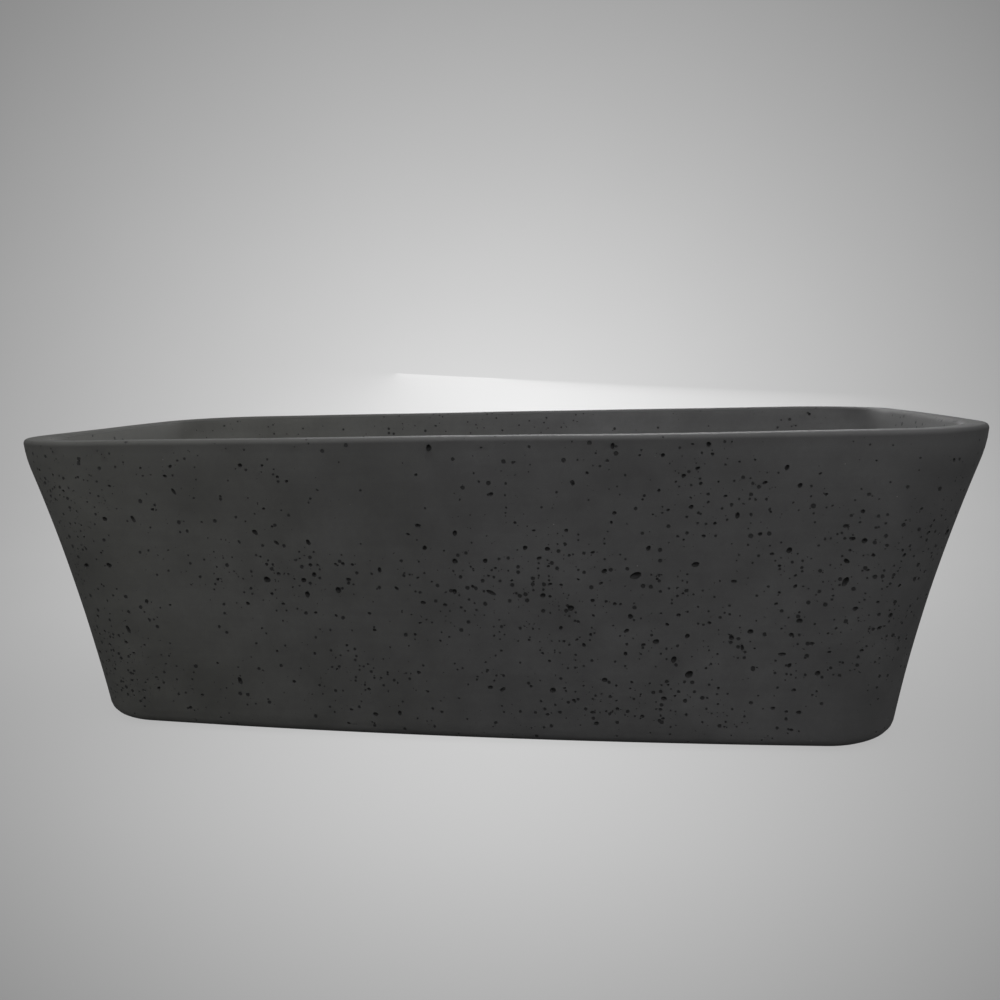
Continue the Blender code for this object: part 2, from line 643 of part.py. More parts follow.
def make_trap(materials, parts, cutters):
    """The low trap's pot, with its dip pipe and its side outlet. Its foot is open for the cleaning cap."""
    roof = POT_TOP - POT_WALL
    inner, dip_bore, dip_end = POT_RADIUS - POT_WALL, DIP_RADIUS - DIP_WALL, POT_FOOT + DIP_SPACE
    collar, collar_base = DIP_COLLAR_RADIUS, DIP_COLLAR_TOP - DIP_COLLAR
    profile = [(collar, DIP_COLLAR_TOP), (collar, collar_base), (DIP_RADIUS, collar_base)]
    profile += [(DIP_RADIUS, POT_TOP), (POT_RADIUS, POT_TOP), (POT_RADIUS, POT_FOOT), (inner, POT_FOOT)]
    profile += [(inner, roof), (DIP_RADIUS, roof), (DIP_RADIUS, dip_end), (dip_bore, dip_end)]
    profile.append((dip_bore, DIP_COLLAR_TOP))
    pot = turned("trap_body", profile, materials["white_plastic"], parts)
    for name, radius, start, end, operation in (
        ("outlet_stub", STUB_RADIUS, inner - POT_WALL / 2, STUB_END, "UNION"),
        ("outlet_bore", STUB_BORE, DIP_RADIUS + POT_WALL, STUB_END + STUB_WALL, "DIFFERENCE"),
    ):
        helper = disc(name, radius, start, end, materials["white_plastic"], cutters)
        helper.rotation_euler = (0, math.pi / 2, 0)
        helper.location = (0, 0, OUTLET_HEIGHT)
        combine(pot, helper, operation)


def make_cleaning_cap(materials, parts, cutters):
    """The screwed cap that closes the trap's foot, with a grip rib across it, and its seal."""
    base, floor = CLEANING_CAP_BASE, CLEANING_CAP_BASE + CLEANING_CAP_FLOOR
    inner = POT_RADIUS + GAP
    outer, rim = inner + CLEANING_CAP_WALL, POT_FOOT + CLEANING_CAP_GRIP
    profile = [(0, floor), (inner, floor), (inner, rim), (outer, rim), (outer, base), (0, base)]
    cap = turned("trap_cap", profile, materials["white_plastic"], parts, closed=False)
    sunk = CLEANING_CAP_FLOOR / 4
    rib = block(
        "trap_cap_rib",
        (POT_RADIUS * 1.4, RIB_WIDTH, RIB_HEIGHT + sunk),
        (0, 0, base - (RIB_HEIGHT - sunk) / 2),
        materials["white_plastic"],
        cutters,
    )
    combine(cap, rib, "UNION")
    hole, top = POT_RADIUS - CLEANING_CAP_SEAL_WIDTH, floor + GAP + SEAL
    ring("trap_cap_seal", hole, POT_RADIUS, floor + GAP, top, materials["rubber"], parts)


def bent_pipe(name, radius, start, end, material, collection):
    """A pipe out of the trap along X, round one bend and down to an open end, as a solid rod."""
    curve = bpy.data.curves.new(name, "CURVE")
    curve.dimensions = "3D"
    curve.bevel_depth = radius
    curve.bevel_resolution = PIPE_BEVEL
    curve.use_fill_caps = True
    turn = STUB_END + PIPE_LENGTH
    points = [(start, OUTLET_HEIGHT)]
    points += [
        (turn + PIPE_BEND * math.sin(t), OUTLET_HEIGHT - PIPE_BEND * (1 - math.cos(t)))
        for t in arc(BEND_STEPS)
    ]
    points.append((turn + PIPE_BEND, end))
    spline = curve.splines.new("POLY")
    spline.points.add(len(points) - 1)
    for point, (x, z) in zip(spline.points, points):
        point.co = (x, 0, z, 1)
    guide = bpy.data.objects.new(name + "_guide", curve)
    bpy.context.scene.collection.objects.link(guide)
    evaluated = guide.evaluated_get(bpy.context.evaluated_depsgraph_get())
    mesh = bpy.data.meshes.new_from_object(evaluated)
    shape = bmesh.new()
    shape.from_mesh(mesh)
    bmesh.ops.remove_doubles(shape, verts=shape.verts, dist=0.00001)
    bmesh.ops.recalc_face_normals(shape, faces=shape.faces)
    shape.to_mesh(mesh)
    shape.free()
    obj = add_mesh(name, mesh, material, collection)
    obj.matrix_world = guide.matrix_world
    bpy.data.objects.remove(guide)
    return obj


def make_outlet(materials, parts, cutters):
    """The outlet pipe, and the nut and washer that grip it on the trap's stub."""
    plastic, start = materials["white_plastic"], STUB_END - PIPE_GRIP
    pipe = bent_pipe("outlet_pipe", PIPE_RADIUS, start, PIPE_END, plastic, parts)
    bore_radius, past = PIPE_RADIUS - PIPE_WALL, PIPE_END / 2
    bore = bent_pipe("pipe_bore", bore_radius, start - past, PIPE_END - past, plastic, cutters)
    combine(pipe, bore, "DIFFERENCE")
    lip = STUB_END + SEAL + 2 * GAP
    rubber, washer_start = materials["rubber"], STUB_END + GAP
    washer = ring("outlet_washer", STUB_BORE, STUB_RADIUS, washer_start, lip - GAP, rubber, parts)
    start, end = STUB_END - OUTLET_NUT_GRIP, lip + OUTLET_NUT_LIP
    inner = STUB_RADIUS + GAP
    outer = inner + OUTLET_NUT_WALL
    profile = [(outer, end), (outer, start), (inner, start), (inner, lip), (STUB_BORE, lip), (STUB_BORE, end)]
    nut = turned("outlet_nut", profile, plastic, parts)
    for piece in (washer, nut):
        piece.rotation_euler = (0, math.pi / 2, 0)
        piece.location = (0, 0, OUTLET_HEIGHT)


def main():
    clear_scene()
    parts = new_collection("bathtub")
    cutters = new_collection("cutters")
    materials = {
        "concrete": new_material("dark_concrete", (0.040, 0.040, 0.039), 0.72),
        "steel": new_material("zinc_plated_steel", (0.55, 0.55, 0.57), 0.38, 1.0),
        "brushed": new_material("brushed_steel", (0.50, 0.50, 0.49), 0.30, 1.0),
        "brass": new_material("brass", (0.72, 0.54, 0.26), 0.35, 1.0),
        "rubber": new_material("black_rubber", (0.020, 0.020, 0.020), 0.85),
        "white_plastic": new_material("white_plastic", (0.78, 0.78, 0.76), 0.45),
        "black_plastic": new_material("black_plastic", (0.030, 0.030, 0.032), 0.50),
    }
    make_casting(materials, parts, cutters)
    make_feet(materials, parts, cutters)
    make_flange(materials, parts, cutters)
    make_waste_fixings(materials, parts, cutters)
    make_plug(materials, parts)
    make_cartridge(materials, parts)
    make_coupling(materials, parts)
    make_trap(materials, parts, cutters)
    make_cleaning_cap(materials, parts, cutters)
    make_outlet(materials, parts, cutters)


main()
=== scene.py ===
"""Looks for the freestanding bathtub: pored concrete, waste, trap and feet, on a pale studio sweep."""

import math
import random

import bmesh
import bpy
import numpy as np
from mathutils import Matrix, Vector, noise


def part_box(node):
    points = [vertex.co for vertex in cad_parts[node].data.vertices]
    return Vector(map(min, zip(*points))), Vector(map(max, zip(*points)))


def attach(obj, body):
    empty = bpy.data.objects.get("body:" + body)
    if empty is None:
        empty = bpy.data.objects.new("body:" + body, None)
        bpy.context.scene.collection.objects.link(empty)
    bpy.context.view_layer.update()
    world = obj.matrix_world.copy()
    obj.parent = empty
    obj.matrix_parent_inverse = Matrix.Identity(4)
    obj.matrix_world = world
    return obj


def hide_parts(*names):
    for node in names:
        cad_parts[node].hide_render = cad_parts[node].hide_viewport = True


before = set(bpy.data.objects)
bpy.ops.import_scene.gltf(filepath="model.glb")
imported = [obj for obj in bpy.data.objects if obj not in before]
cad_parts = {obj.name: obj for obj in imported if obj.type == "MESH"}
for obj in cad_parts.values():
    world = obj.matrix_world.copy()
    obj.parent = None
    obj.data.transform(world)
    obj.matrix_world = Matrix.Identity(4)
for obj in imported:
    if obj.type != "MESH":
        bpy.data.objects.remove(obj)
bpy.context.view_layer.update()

# ---------------------------------------------------------------- the casting's sizes, in metres

SHELL_LOW, SHELL_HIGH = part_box("tub_shell")
HEIGHT = SHELL_HIGH[2]
EDGE_GAP = SHELL_LOW[2]
HALF_LENGTH, HALF_WIDTH = 0.900, 0.425
BASE_HALF_LENGTH, BASE_HALF_WIDTH = 0.770, 0.400
RIM_CORNER, BASE_CORNER = 0.180, 0.135
END_BOW, SIDE_BOW = 0.015, 0.025
FLARE_CURVE, RIM_EASE = 0.40, 0.060
RIM_ROUND, BASE_ROUND, WALL, COVE = 0.009, 0.017, 0.045, 0.085
FALL = 0.006
RECESS_WALL, RECESS_COVE, RECESS_LIP = 0.050, 0.020, 0.003
SLAB_UNDERSIDE, BASIN_FLOOR = 0.120, 0.165
SEAT_RADIUS, SEAT_HEIGHT = 0.0363, 0.1587
BODY_RADIUS, BODY_HEIGHT = 0.0305, 0.1552
HOLE_RADIUS = 0.0260
LEAST_CORNER = 0.020
LEVEL_SHARE = 0.08  # how much of the basin's floor, round the waste, is level

# Steps of the surface's grid: round a quarter of a level section, then over each zone in turn.
END_STEPS, CORNER_STEPS, SIDE_STEPS = 14, 16, 44
FLOOR_STEPS, COVE_STEPS, INNER_STEPS, RIM_STEPS, OUTER_STEPS, BASE_STEPS = 13, 8, 17, 5, 33, 4
RECESS_STEPS, RECESS_COVE_STEPS, CEILING_STEPS = 5, 3, 12


# ---------------------------------------------------------------- the casting's surface


def quarter_turn(steps):
    """Angles from 0 to a right angle, both included."""
    return [math.pi / 2 * i / steps for i in range(steps + 1)]


def spaced(start, end, steps):
    """Even steps to an end, without the start."""
    return [start + (end - start) * i / steps for i in range(1, steps + 1)]


def section(half_length, half_width, corner):
    """A level section as an array of (x, y), counter-clockwise from the +X end."""
    a, b = half_length - END_BOW, half_width - SIDE_BOW
    quarter = [(a, (b - corner) * i / END_STEPS) for i in range(END_STEPS)]
    quarter += [
        (a - corner + corner * math.cos(t), b - corner + corner * math.sin(t))
        for t in quarter_turn(CORNER_STEPS)
    ]
    quarter += [((a - corner) * (1 - i / SIDE_STEPS), b) for i in range(1, SIDE_STEPS + 1)]
    bowed = [
        (x * (1 + END_BOW / a * (1 - (y / b) ** 2)), y * (1 + SIDE_BOW / b * (1 - (x / a) ** 2)))
        for x, y in quarter
    ]
    upper = bowed + [(-x, y) for x, y in bowed[-2::-1]]
    return np.array(upper + [(x, -y) for x, y in upper[-2:0:-1]])


def flare(height):
    """How far the outer wall has flared at a height, from 0 at the lower edge to 1 at the rim."""
    rise = HEIGHT - EDGE_GAP
    ease = 1 - RIM_EASE / rise

    def free(t):
        return (1 - FLARE_CURVE) * t + FLARE_CURVE * t * t

    slope = (1 - FLARE_CURVE) + 2 * FLARE_CURVE * ease
    most = free(ease) + slope * (1 - ease) / 2
    t = (height - EDGE_GAP) / rise
    if t <= ease:
        return free(t) / most
    u = (t - ease) / (1 - ease)
    return (free(ease) + slope * (1 - ease) * (u - u * u / 2)) / most


def outside(height, inset=0.0):
    """Half length, half width and corner of the outer wall at a height, or of a line set in from it."""
    share = flare(height)
    half_length = BASE_HALF_LENGTH + (HALF_LENGTH - BASE_HALF_LENGTH) * share
    half_width = BASE_HALF_WIDTH + (HALF_WIDTH - BASE_HALF_WIDTH) * share
    corner = BASE_CORNER + (RIM_CORNER - BASE_CORNER) * share
    return half_length - inset, half_width - inset, max(corner - inset, LEAST_CORNER)


def to_circle(ring, radius, share):
    """Part of the way from a ring to a circle round the middle, each point on its own ray."""
    length = np.linalg.norm(ring, axis=1)[:, None]
    return ring * (1 - share) + ring / length * radius * share


def casting_rows():
    """Rows of points round the casting: from the waste hole over the basin and the rim, down outside, under
    the lower edge and back through the recess to the hole. Each row comes with the name of its zone."""
    rows = []

    def add(zone, ring, height):
        rows.append((zone, np.column_stack([ring, np.full(len(ring), height)])))

    well = BASIN_FLOOR + FALL
    floor_ring = section(*outside(well, WALL + COVE))
    for share in [0.0, 0.012, 0.04, LEVEL_SHARE] + spaced(LEVEL_SHARE, 0.96, FLOOR_STEPS):
        height = BASIN_FLOOR + FALL * max(0.0, share - LEVEL_SHARE) / (1 - LEVEL_SHARE)
        add("floor", to_circle(floor_ring, SEAT_RADIUS, 1 - share), height)
    cove_top = well + COVE
    for t in quarter_turn(COVE_STEPS):
        height = cove_top - COVE * math.cos(t)
        add("cove", section(*outside(height, WALL + COVE * (1 - math.sin(t)))), height)
    shoulder = HEIGHT - RIM_ROUND
    for height in spaced(cove_top, shoulder, INNER_STEPS):
        add("inner", section(*outside(height, WALL)), height)
    turn = [(RIM_ROUND * (1 - math.cos(t)), RIM_ROUND * math.sin(t)) for t in quarter_turn(RIM_STEPS)]
    for inset, rise in turn[1:]:
        add("rim", section(*outside(shoulder + rise, WALL - inset)), shoulder + rise)
    add("rim", section(*outside(HEIGHT, WALL / 2)), HEIGHT)
    for inset, rise in reversed(turn):
        add("rim", section(*outside(shoulder + rise, inset)), shoulder + rise)
    for height in spaced(shoulder, EDGE_GAP + BASE_ROUND, OUTER_STEPS):
        add("outer", section(*outside(height)), height)
    for t in quarter_turn(BASE_STEPS)[1:]:
        height = EDGE_GAP + BASE_ROUND * (1 - math.sin(t))
        add("edge", section(*outside(height, BASE_ROUND * (1 - math.cos(t)))), height)
    for inset in spaced(BASE_ROUND, RECESS_WALL - RECESS_LIP, 2):
        add("edge", section(*outside(EDGE_GAP, inset)), EDGE_GAP)
    recess = section(*outside(EDGE_GAP, RECESS_WALL))
    ceiling = SLAB_UNDERSIDE - RECESS_COVE
    lip = EDGE_GAP + RECESS_LIP
    for height in [lip] + spaced(lip, ceiling, RECESS_STEPS):
        add("recess", recess, height)
    for t in quarter_turn(RECESS_COVE_STEPS)[1:]:
        size = outside(EDGE_GAP, RECESS_WALL + RECESS_COVE * (1 - math.cos(t)))
        add("recess", section(*size), ceiling + RECESS_COVE * math.sin(t))
    roof_ring = section(*outside(EDGE_GAP, RECESS_WALL + RECESS_COVE))
    for share in spaced(0.0, 1.0, CEILING_STEPS):
        add("ceiling", to_circle(roof_ring, HOLE_RADIUS, share), SLAB_UNDERSIDE)
    for radius, height in (
        (HOLE_RADIUS, BODY_HEIGHT),
        (BODY_RADIUS, BODY_HEIGHT),
        (BODY_RADIUS, SEAT_HEIGHT),
        (SEAT_RADIUS, SEAT_HEIGHT),
    ):
        add("hole", to_circle(roof_ring, radius, 1.0), height)
    return rows


def grid_normals(points):
    """Outward normals of a grid that closes on itself both ways."""
    along = np.roll(points, -1, axis=1) - np.roll(points, 1, axis=1)
    across = np.roll(points, -1, axis=0) - np.roll(points, 1, axis=0)
    normals = np.cross(across, along)
    return normals / np.maximum(np.linalg.norm(normals, axis=2), 1e-12)[:, :, None]


def soft_noise(point, size, seed):
    """Smooth noise from about -1 to 1, whose patches are a size in metres across."""
    return noise.noise(Vector(point) / size + Vector((seed, seed * 0.7, -seed)))


def rim_drop(place):
    """How far the rim lies below its highest line, in metres: most on the front, right of the middle."""
    drop = 0.0008 + 0.0010 * soft_noise((place[0], place[1], 0.0), 0.30, 21.0)
    if place[1] < 0:
        drop += 0.0018 * math.exp(-(((place[0] - 0.38) / 0.32) ** 2)) * min(1.0, -place[1] / 0.3)
    return max(drop, 0.0)


def hand_made(points, normals, zones):
    """The slight unevenness of a hand-finished casting. Every move is inwards or down."""
    moved = points.copy()
    for row, zone in enumerate(zones):
        if zone not in ("outer", "inner", "rim", "cove", "edge"):
            continue
        for column in range(points.shape[1]):
            place = points[row, column]
            rise = (place[2] - EDGE_GAP) / (HEIGHT - EDGE_GAP)
            swell = 0.0010 * (soft_noise(place, 0.38, 3.0) - 0.9)
            swell += 0.0004 * (soft_noise(place, 0.11, 8.0) - 0.8)
            move = normals[row, column] * swell
            move[2] = min(move[2], 0.0) * 0.5
            if rise > 0.7:
                share = (rise - 0.7) / 0.3
                move[2] -= rim_drop(place) * share * share * (3 - 2 * share)
            moved[row, column] = place + move
    return moved


# ---------------------------------------------------------------- pores

ZONE_DEPTH = {"outer": 1.0, "edge": 0.8, "rim": 0.7, "inner": 0.9, "cove": 0.6, "recess": 0.8, "floor": 0.4}

# Painted light and shade by zone: the basin's side is painted paler, standing in for the light that falls
# into it, and the rim is painted a little darker, holding back the light that falls on its top.
PAINTED_ZONE_LIGHT = {"floor": 1.25, "cove": 1.25, "inner": 1.25, "rim": 0.78}

# The larger voids of the front, listed one by one: along, up, width and height in millimetres, tilt in
# degrees.
# Along and up are counted from this point of the front, in metres from the middle and the floor.
FRONT_START = (0.012, 0.002)
FRONT_VOIDS = [
    (285, 312, 20, 12, -15),
    (302, 318, 12, 5, 0),
    (178, 254, 11, 11, 0),
    (349, 165, 9, 14, 0),
    (333, 147, 10, 11, 0),
    (374, 139, 13, 14, 20),
    (319, 197, 12, 9, 0),
    (145, 105, 11, 10, 0),
    (234, 126, 10, 9, 0),
    (334, 94, 10, 8, 0),
    (322, 82, 12, 6, -30),
    (277, 241, 9, 9, 0),
    (234, 319, 10, 8, -20),
    (382, 331, 13, 9, -20),
    (305, 359, 8, 9, 10),
    (373, 428, 8, 7, 0),
    (446, 414, 7, 11, 0),
    (398, 529, 8, 8, 0),
    (248, 528, 7, 10, 0),
    (472, 216, 10, 9, 0),
    (443, 205, 11, 8, 30),
    (461, 187, 6, 12, -10),
    (371, 207, 8, 9, 0),
    (270, 215, 10, 7, -30),
    (219, 45, 9, 8, 0),
    (213, 66, 12, 5, 0),
    (424, 20, 5, 12, 0),
    (444, 302, 10, 6, 0),
    (131, 276, 10, 8, 0),
    (140, 357, 9, 8, 0),
    (126, 341, 9, 6, -20),
    (103, 359, 8, 9, 0),
    (795, 367, 16, 15, 20),
    (619, 302, 10, 17, 15),
    (618, 338, 11, 7, 35),
    (528, 354, 9, 11, 0),
    (551, 235, 10, 9, 0),
    (538, 210, 9, 7, 0),
    (525, 177, 15, 6, 0),
    (538, 157, 8, 8, 0),
    (584, 143, 9, 10, 0),
    (637, 257, 9, 8, 0),
    (644, 269, 8, 7, 0),
    (697, 241, 9, 9, 0),
    (614, 396, 11, 6, -10),
    (643, 371, 9, 10, -20),
    (603, 291, 9, 8, 0),
    (519, 489, 8, 9, 0),
    (540, 461, 8, 8, 0),
    (556, 73, 10, 7, 20),
    (-52, 529, 9, 13, 10),
    (-359, 297, 13, 12, 0),
    (-290, 297, 10, 9, 0),
    (-285, 271, 9, 12, 0),
    (-269, 308, 9, 9, 0),
    (-254, 292, 8, 9, 0),
    (-227, 280, 11, 12, 0),
    (-207, 300, 9, 7, 0),
    (-275, 366, 8, 12, -25),
    (-334, 365, 12, 6, 40),
    (-150, 318, 7, 10, 0),
    (-78, 397, 10, 7, 0),
    (-68, 358, 8, 9, 0),
    (-15, 384, 8, 10, 0),
    (-17, 335, 10, 9, 0),
    (35, 336, 8, 9, 0),
    (41, 317, 8, 9, 0),
    (43, 280, 20, 7, 25),
    (-20, 281, 8, 10, -20),
    (-76, 260, 10, 7, 0),
    (36, 107, 10, 7, 0),
    (-130, 52, 7, 11, 0),
    (-175, 48, 10, 8, 0),
    (-168, 34, 8, 9, 0),
    (-720, 315, 15, 9, -25),
    (-667, 317, 10, 10, 0),
    (-642, 299, 7, 10, 0),
    (-646, 193, 8, 17, -10),
    (-660, 406, 9, 9, 0),
    (-606, 405, 8, 13, -20),
    (-518, 456, 7, 13, -20),
    (-372, 383, 9, 12, -30),
    (-387, 503, 9, 7, 0),
    (-430, 101, 9, 13, 0),
]

# Where the front's smaller pores gather: along, up, spread along, spread up (metres) and how thickly.
FRONT_CLUSTERS = [
    (-0.67, 0.46, 0.12, 0.06, 0.8),
    (-0.38, 0.43, 0.08, 0.05, 0.5),
    (-0.33, 0.31, 0.16, 0.05, 0.9),
    (-0.15, 0.15, 0.12, 0.07, 0.8),
    (-0.24, 0.06, 0.10, 0.03, 0.7),
    (-0.01, 0.31, 0.10, 0.05, 0.8),
    (0.02, 0.05, 0.12, 0.04, 0.5),
    (0.25, 0.33, 0.16, 0.08, 0.9),
    (0.22, 0.21, 0.14, 0.06, 0.9),
    (0.36, 0.07, 0.16, 0.05, 1.2),
    (0.38, 0.46, 0.22, 0.06, 0.9),
    (0.47, 0.21, 0.12, 0.05, 0.9),
    (0.60, 0.36, 0.14, 0.05, 1.2),
    (0.76, 0.38, 0.08, 0.12, 0.9),
    (-0.62, 0.14, 0.12, 0.08, 0.6),
    (-0.80, 0.38, 0.10, 0.14, 1.2),
    (-0.72, 0.10, 0.09, 0.08, 0.7),
    (0.62, 0.20, 0.16, 0.08, 0.7),
    (0.10, 0.14, 0.20, 0.06, 0.4),
]


def pore_density(place):
    """How thickly the smaller pores lie at a point, from about 0.1 to 2."""
    patches = 0.70 + 1.5 * soft_noise(place, 0.20, 40.0) + 0.8 * soft_noise(place, 0.07, 51.0)
    if place[1] > -0.25:
        return max(0.08, patches * (1.15 - 0.5 * place[2] / HEIGHT))
    gathered = 0.24
    for x, z, spread_x, spread_z, weight in FRONT_CLUSTERS:
        away = ((place[0] - FRONT_START[0] - x) / spread_x) ** 2 + ((place[2] - z) / spread_z) ** 2
        gathered += weight * math.exp(-away)
    return max(0.06, gathered * max(0.25, 0.5 + 0.7 * patches))


class Casting:
    """The casting's grid of points, in which blocks of cells are given up to pores."""

    def __init__(self):
        rows = casting_rows()
        self.zones = [zone for zone, _ in rows]
        base = np.array([row for _, row in rows])
        self.grid = hand_made(base, grid_normals(base), self.zones)
        self.normals = grid_normals(self.grid)
        self.rows, self.columns = self.grid.shape[:2]
        self.points = [tuple(p) for p in self.grid.reshape(-1, 3)]
        # Painted shade of the pores: none on the grid's own points.
        self.painted_pore_shade = [0.0] * len(self.points)
        # Painted light and shade for each point, by its zone.
        self.painted_zone_light = [PAINTED_ZONE_LIGHT.get(zone, 1.0) for zone in self.zones for _ in range(self.columns)]
        self.taken = np.zeros((self.rows, self.columns), bool)
        self.faces = []
        self.lips = set()

    def index(self, row, column):
        return (row % self.rows) * self.columns + column % self.columns

    def at(self, row, column):
        """Point and normal at a place between the grid's lines."""
        r0, c0 = math.floor(row), math.floor(column)
        down, across = row - r0, column - c0
        point, normal = np.zeros(3), np.zeros(3)
        for r, part_down in ((r0, 1 - down), (r0 + 1, down)):
            for c, part_across in ((c0, 1 - across), (c0 + 1, across)):
                part = part_down * part_across
                point += self.grid[r % self.rows, c % self.columns] * part
                normal += self.normals[r % self.rows, c % self.columns] * part
        return point, normal / np.linalg.norm(normal)

    def cell_size(self, row, column):
        r, c = int(row) % self.rows, int(column) % self.columns
        here = self.grid[r, c]
        tall = np.linalg.norm(self.grid[(r + 1) % self.rows, c] - here)
        wide = np.linalg.norm(self.grid[r, (c + 1) % self.columns] - here)
        return tall, wide

    def nearest(self, place, zones):
        """The place on the grid, between its lines, nearest a point on some zones."""
        wanted = [i for i, zone in enumerate(self.zones) if zone in zones]
        gaps = ((self.grid[wanted] - np.array(place)) ** 2).sum(axis=2)
        line, column = np.unravel_index(gaps.argmin(), gaps.shape)
        row = wanted[line]
        here = self.grid[row, column]
        down = self.grid[(row + 1) % self.rows, column] - self.grid[row - 1, column]
        across = self.grid[row, (column + 1) % self.columns] - self.grid[row, column - 1]
        offset = np.array(place) - here
        return row + 2 * offset @ down / (down @ down), column + 2 * offset @ across / (across @ across)

    def stamp(self, row, column, tall_radius, wide_radius, tilt, depth, shape, levels):
        """Sinks a pore centred at a place on the grid. False if its cells are taken."""
        tall, wide = self.cell_size(row, column)
        reach = max(tall_radius, wide_radius) * 1.15
        r0, r1 = math.floor(row - reach / tall), math.floor(row + reach / tall) + 1
        c0, c1 = math.floor(column - reach / wide), math.floor(column + reach / wide) + 1
        block = [(r % self.rows, c % self.columns) for r in range(r0, r1) for c in range(c0, c1)]
        if len(block) > 40 or any(self.taken[r, c] for r, c in block):
            return False
        zone = self.zones[int(row) % self.rows]
        if zone != "rim" and any(self.zones[r % self.rows] != zone for r in range(r0, r1 + 1)):
            return False
        for r, c in block:
            self.taken[r, c] = True
        loop = [(r0, c) for c in range(c0, c1)] + [(r, c1) for r in range(r0, r1)]
        loop += [(r1, c) for c in range(c1, c0, -1)] + [(r, c0) for r in range(r1, r0, -1)]
        border = [self.index(r, c) for r, c in loop]
        angles = [math.atan2((r - row) * tall, (c - column) * wide) for r, c in loop]
        split = 3 if len(loop) < 7 else 2
        steps = []
        for i, angle in enumerate(angles):
            turn = (angles[(i + 1) % len(angles)] - angle + math.pi) % math.tau - math.pi
            steps += [angle + turn * j / split for j in range(split)]
        rings = []
        for size, sink in levels:
            ring = []
            for angle in steps:
                local = angle - tilt
                radius = 1 / math.hypot(math.cos(local) / wide_radius, math.sin(local) / tall_radius)
                radius *= size * shape(angle)
                point, normal = self.at(
                    row + radius * math.sin(angle) / tall, column + radius * math.cos(angle) / wide
                )
                ring.append(len(self.points))
                self.points.append(tuple(point - normal * depth * sink))
                # Painted shade in the pore: its inner rings are painted darker the deeper they lie, its lip
                # not at all.
                self.painted_pore_shade.append(min(1.0, 0.35 + sink) if sink else 0.0)
                # Painted light and shade of the pore's points, as for its zone.
                self.painted_zone_light.append(PAINTED_ZONE_LIGHT.get(zone, 1.0))
            rings.append(ring)
        count, lip = len(steps), rings[0]
        for i, here in enumerate(border):
            after = border[(i + 1) % len(border)]
            fan = [lip[(split * i + j) % count] for j in range(split + 1)]
            half = (split + 1) // 2
            self.faces += [(here, fan[j], fan[j + 1]) for j in range(half)]
            self.faces.append((here, fan[half], after))
            self.faces += [(after, fan[j], fan[j + 1]) for j in range(half, split)]
        for outer, inner in zip(rings, rings[1:]):
            for i in range(count):
                j = (i + 1) % count
                self.faces.append((inner[i], inner[j], outer[j], outer[i]))
        self.faces.append(tuple(reversed(rings[-1])))
        self.lips |= {tuple(sorted((lip[i], lip[(i + 1) % count]))) for i in range(count)}
        return True

    def mesh(self, name):
        for r in range(self.rows):
            for c in range(self.columns):
                if not self.taken[r, c]:
                    corners = [self.index(r + 1, c), self.index(r + 1, c + 1)]
                    self.faces.append((*corners, self.index(r, c + 1), self.index(r, c)))
        used = sorted({i for face in self.faces for i in face})
        number = {old: new for new, old in enumerate(used)}
        mesh = bpy.data.meshes.new(name)
        faces = [tuple(number[i] for i in face) for face in self.faces]
        mesh.from_pydata([self.points[i] for i in used], [], faces)
        # The shader reads these: painted shade in the pores, painted light and shade by zone, and how thickly
        # the small pores lie.
        for field, values in (
            ("painted_pore_shade", [self.painted_pore_shade[i] for i in used]),
            ("painted_zone_light", [self.painted_zone_light[i] for i in used]),
            ("thickness_of_pores", [pore_density(self.points[i]) for i in used]),
        ):
            mesh.attributes.new(field, "FLOAT", "POINT").data.foreach_set("value", values)
        mesh.shade_smooth()
        lips = {(number[a], number[b]) for a, b in self.lips}
        sharp = mesh.attributes.new("sharp_edge", "BOOLEAN", "EDGE")
        sharp.data.foreach_set("value", [tuple(sorted(e.vertices)) in lips for e in mesh.edges])
        return mesh


DEEP = [(1.0, 0.0), (0.95, 0.45), (0.78, 0.82), (0.42, 1.0)]
SHALLOW = [(1.0, 0.0), (0.90, 0.60), (0.50, 1.0)]

# Batches of smaller pores: how many, where, least and greatest radius, lean to the least, how flattened,
# their levels, and whether on the front only (True), off it (False) or both (None).
SCATTERED = [
    (75, ("outer", "edge"), (0.0045, 0.0080), 2.0, 0.50, DEEP, False),
    (330, ("outer", "edge"), (0.0020, 0.0040), 1.5, 0.35, SHALLOW, True),
    (420, ("outer", "edge"), (0.0022, 0.0042), 1.5, 0.35, SHALLOW, False),
    (130, ("inner",), (0.0020, 0.0045), 1.8, 0.35, SHALLOW, None),
    (60, ("rim",), (0.0012, 0.0026), 1.5, 0.30, SHALLOW, None),
    (60, ("recess",), (0.0022, 0.0050), 1.5, 0.30, SHALLOW, None),
]


def uneven(rng, amount):
    """An irregular outline, as a function of angle."""
    waves = [(k, rng.uniform(0, math.tau), amount * rng.uniform(0.3, 1.0) / k) for k in (2, 3, 5)]
    return lambda angle: 1 + sum(size * math.cos(k * angle + phase) for k, phase, size in waves)


def front_place(x, z):
    """The point of the front wall at a distance along the bath and a height, as the voids are measured."""
    x, z = x + FRONT_START[0], z + FRONT_START[1]
    ring = section(*outside(z))
    front = ring[ring[:, 1] < 0]
    return x, float(np.interp(x, front[:, 0], front[:, 1])), z


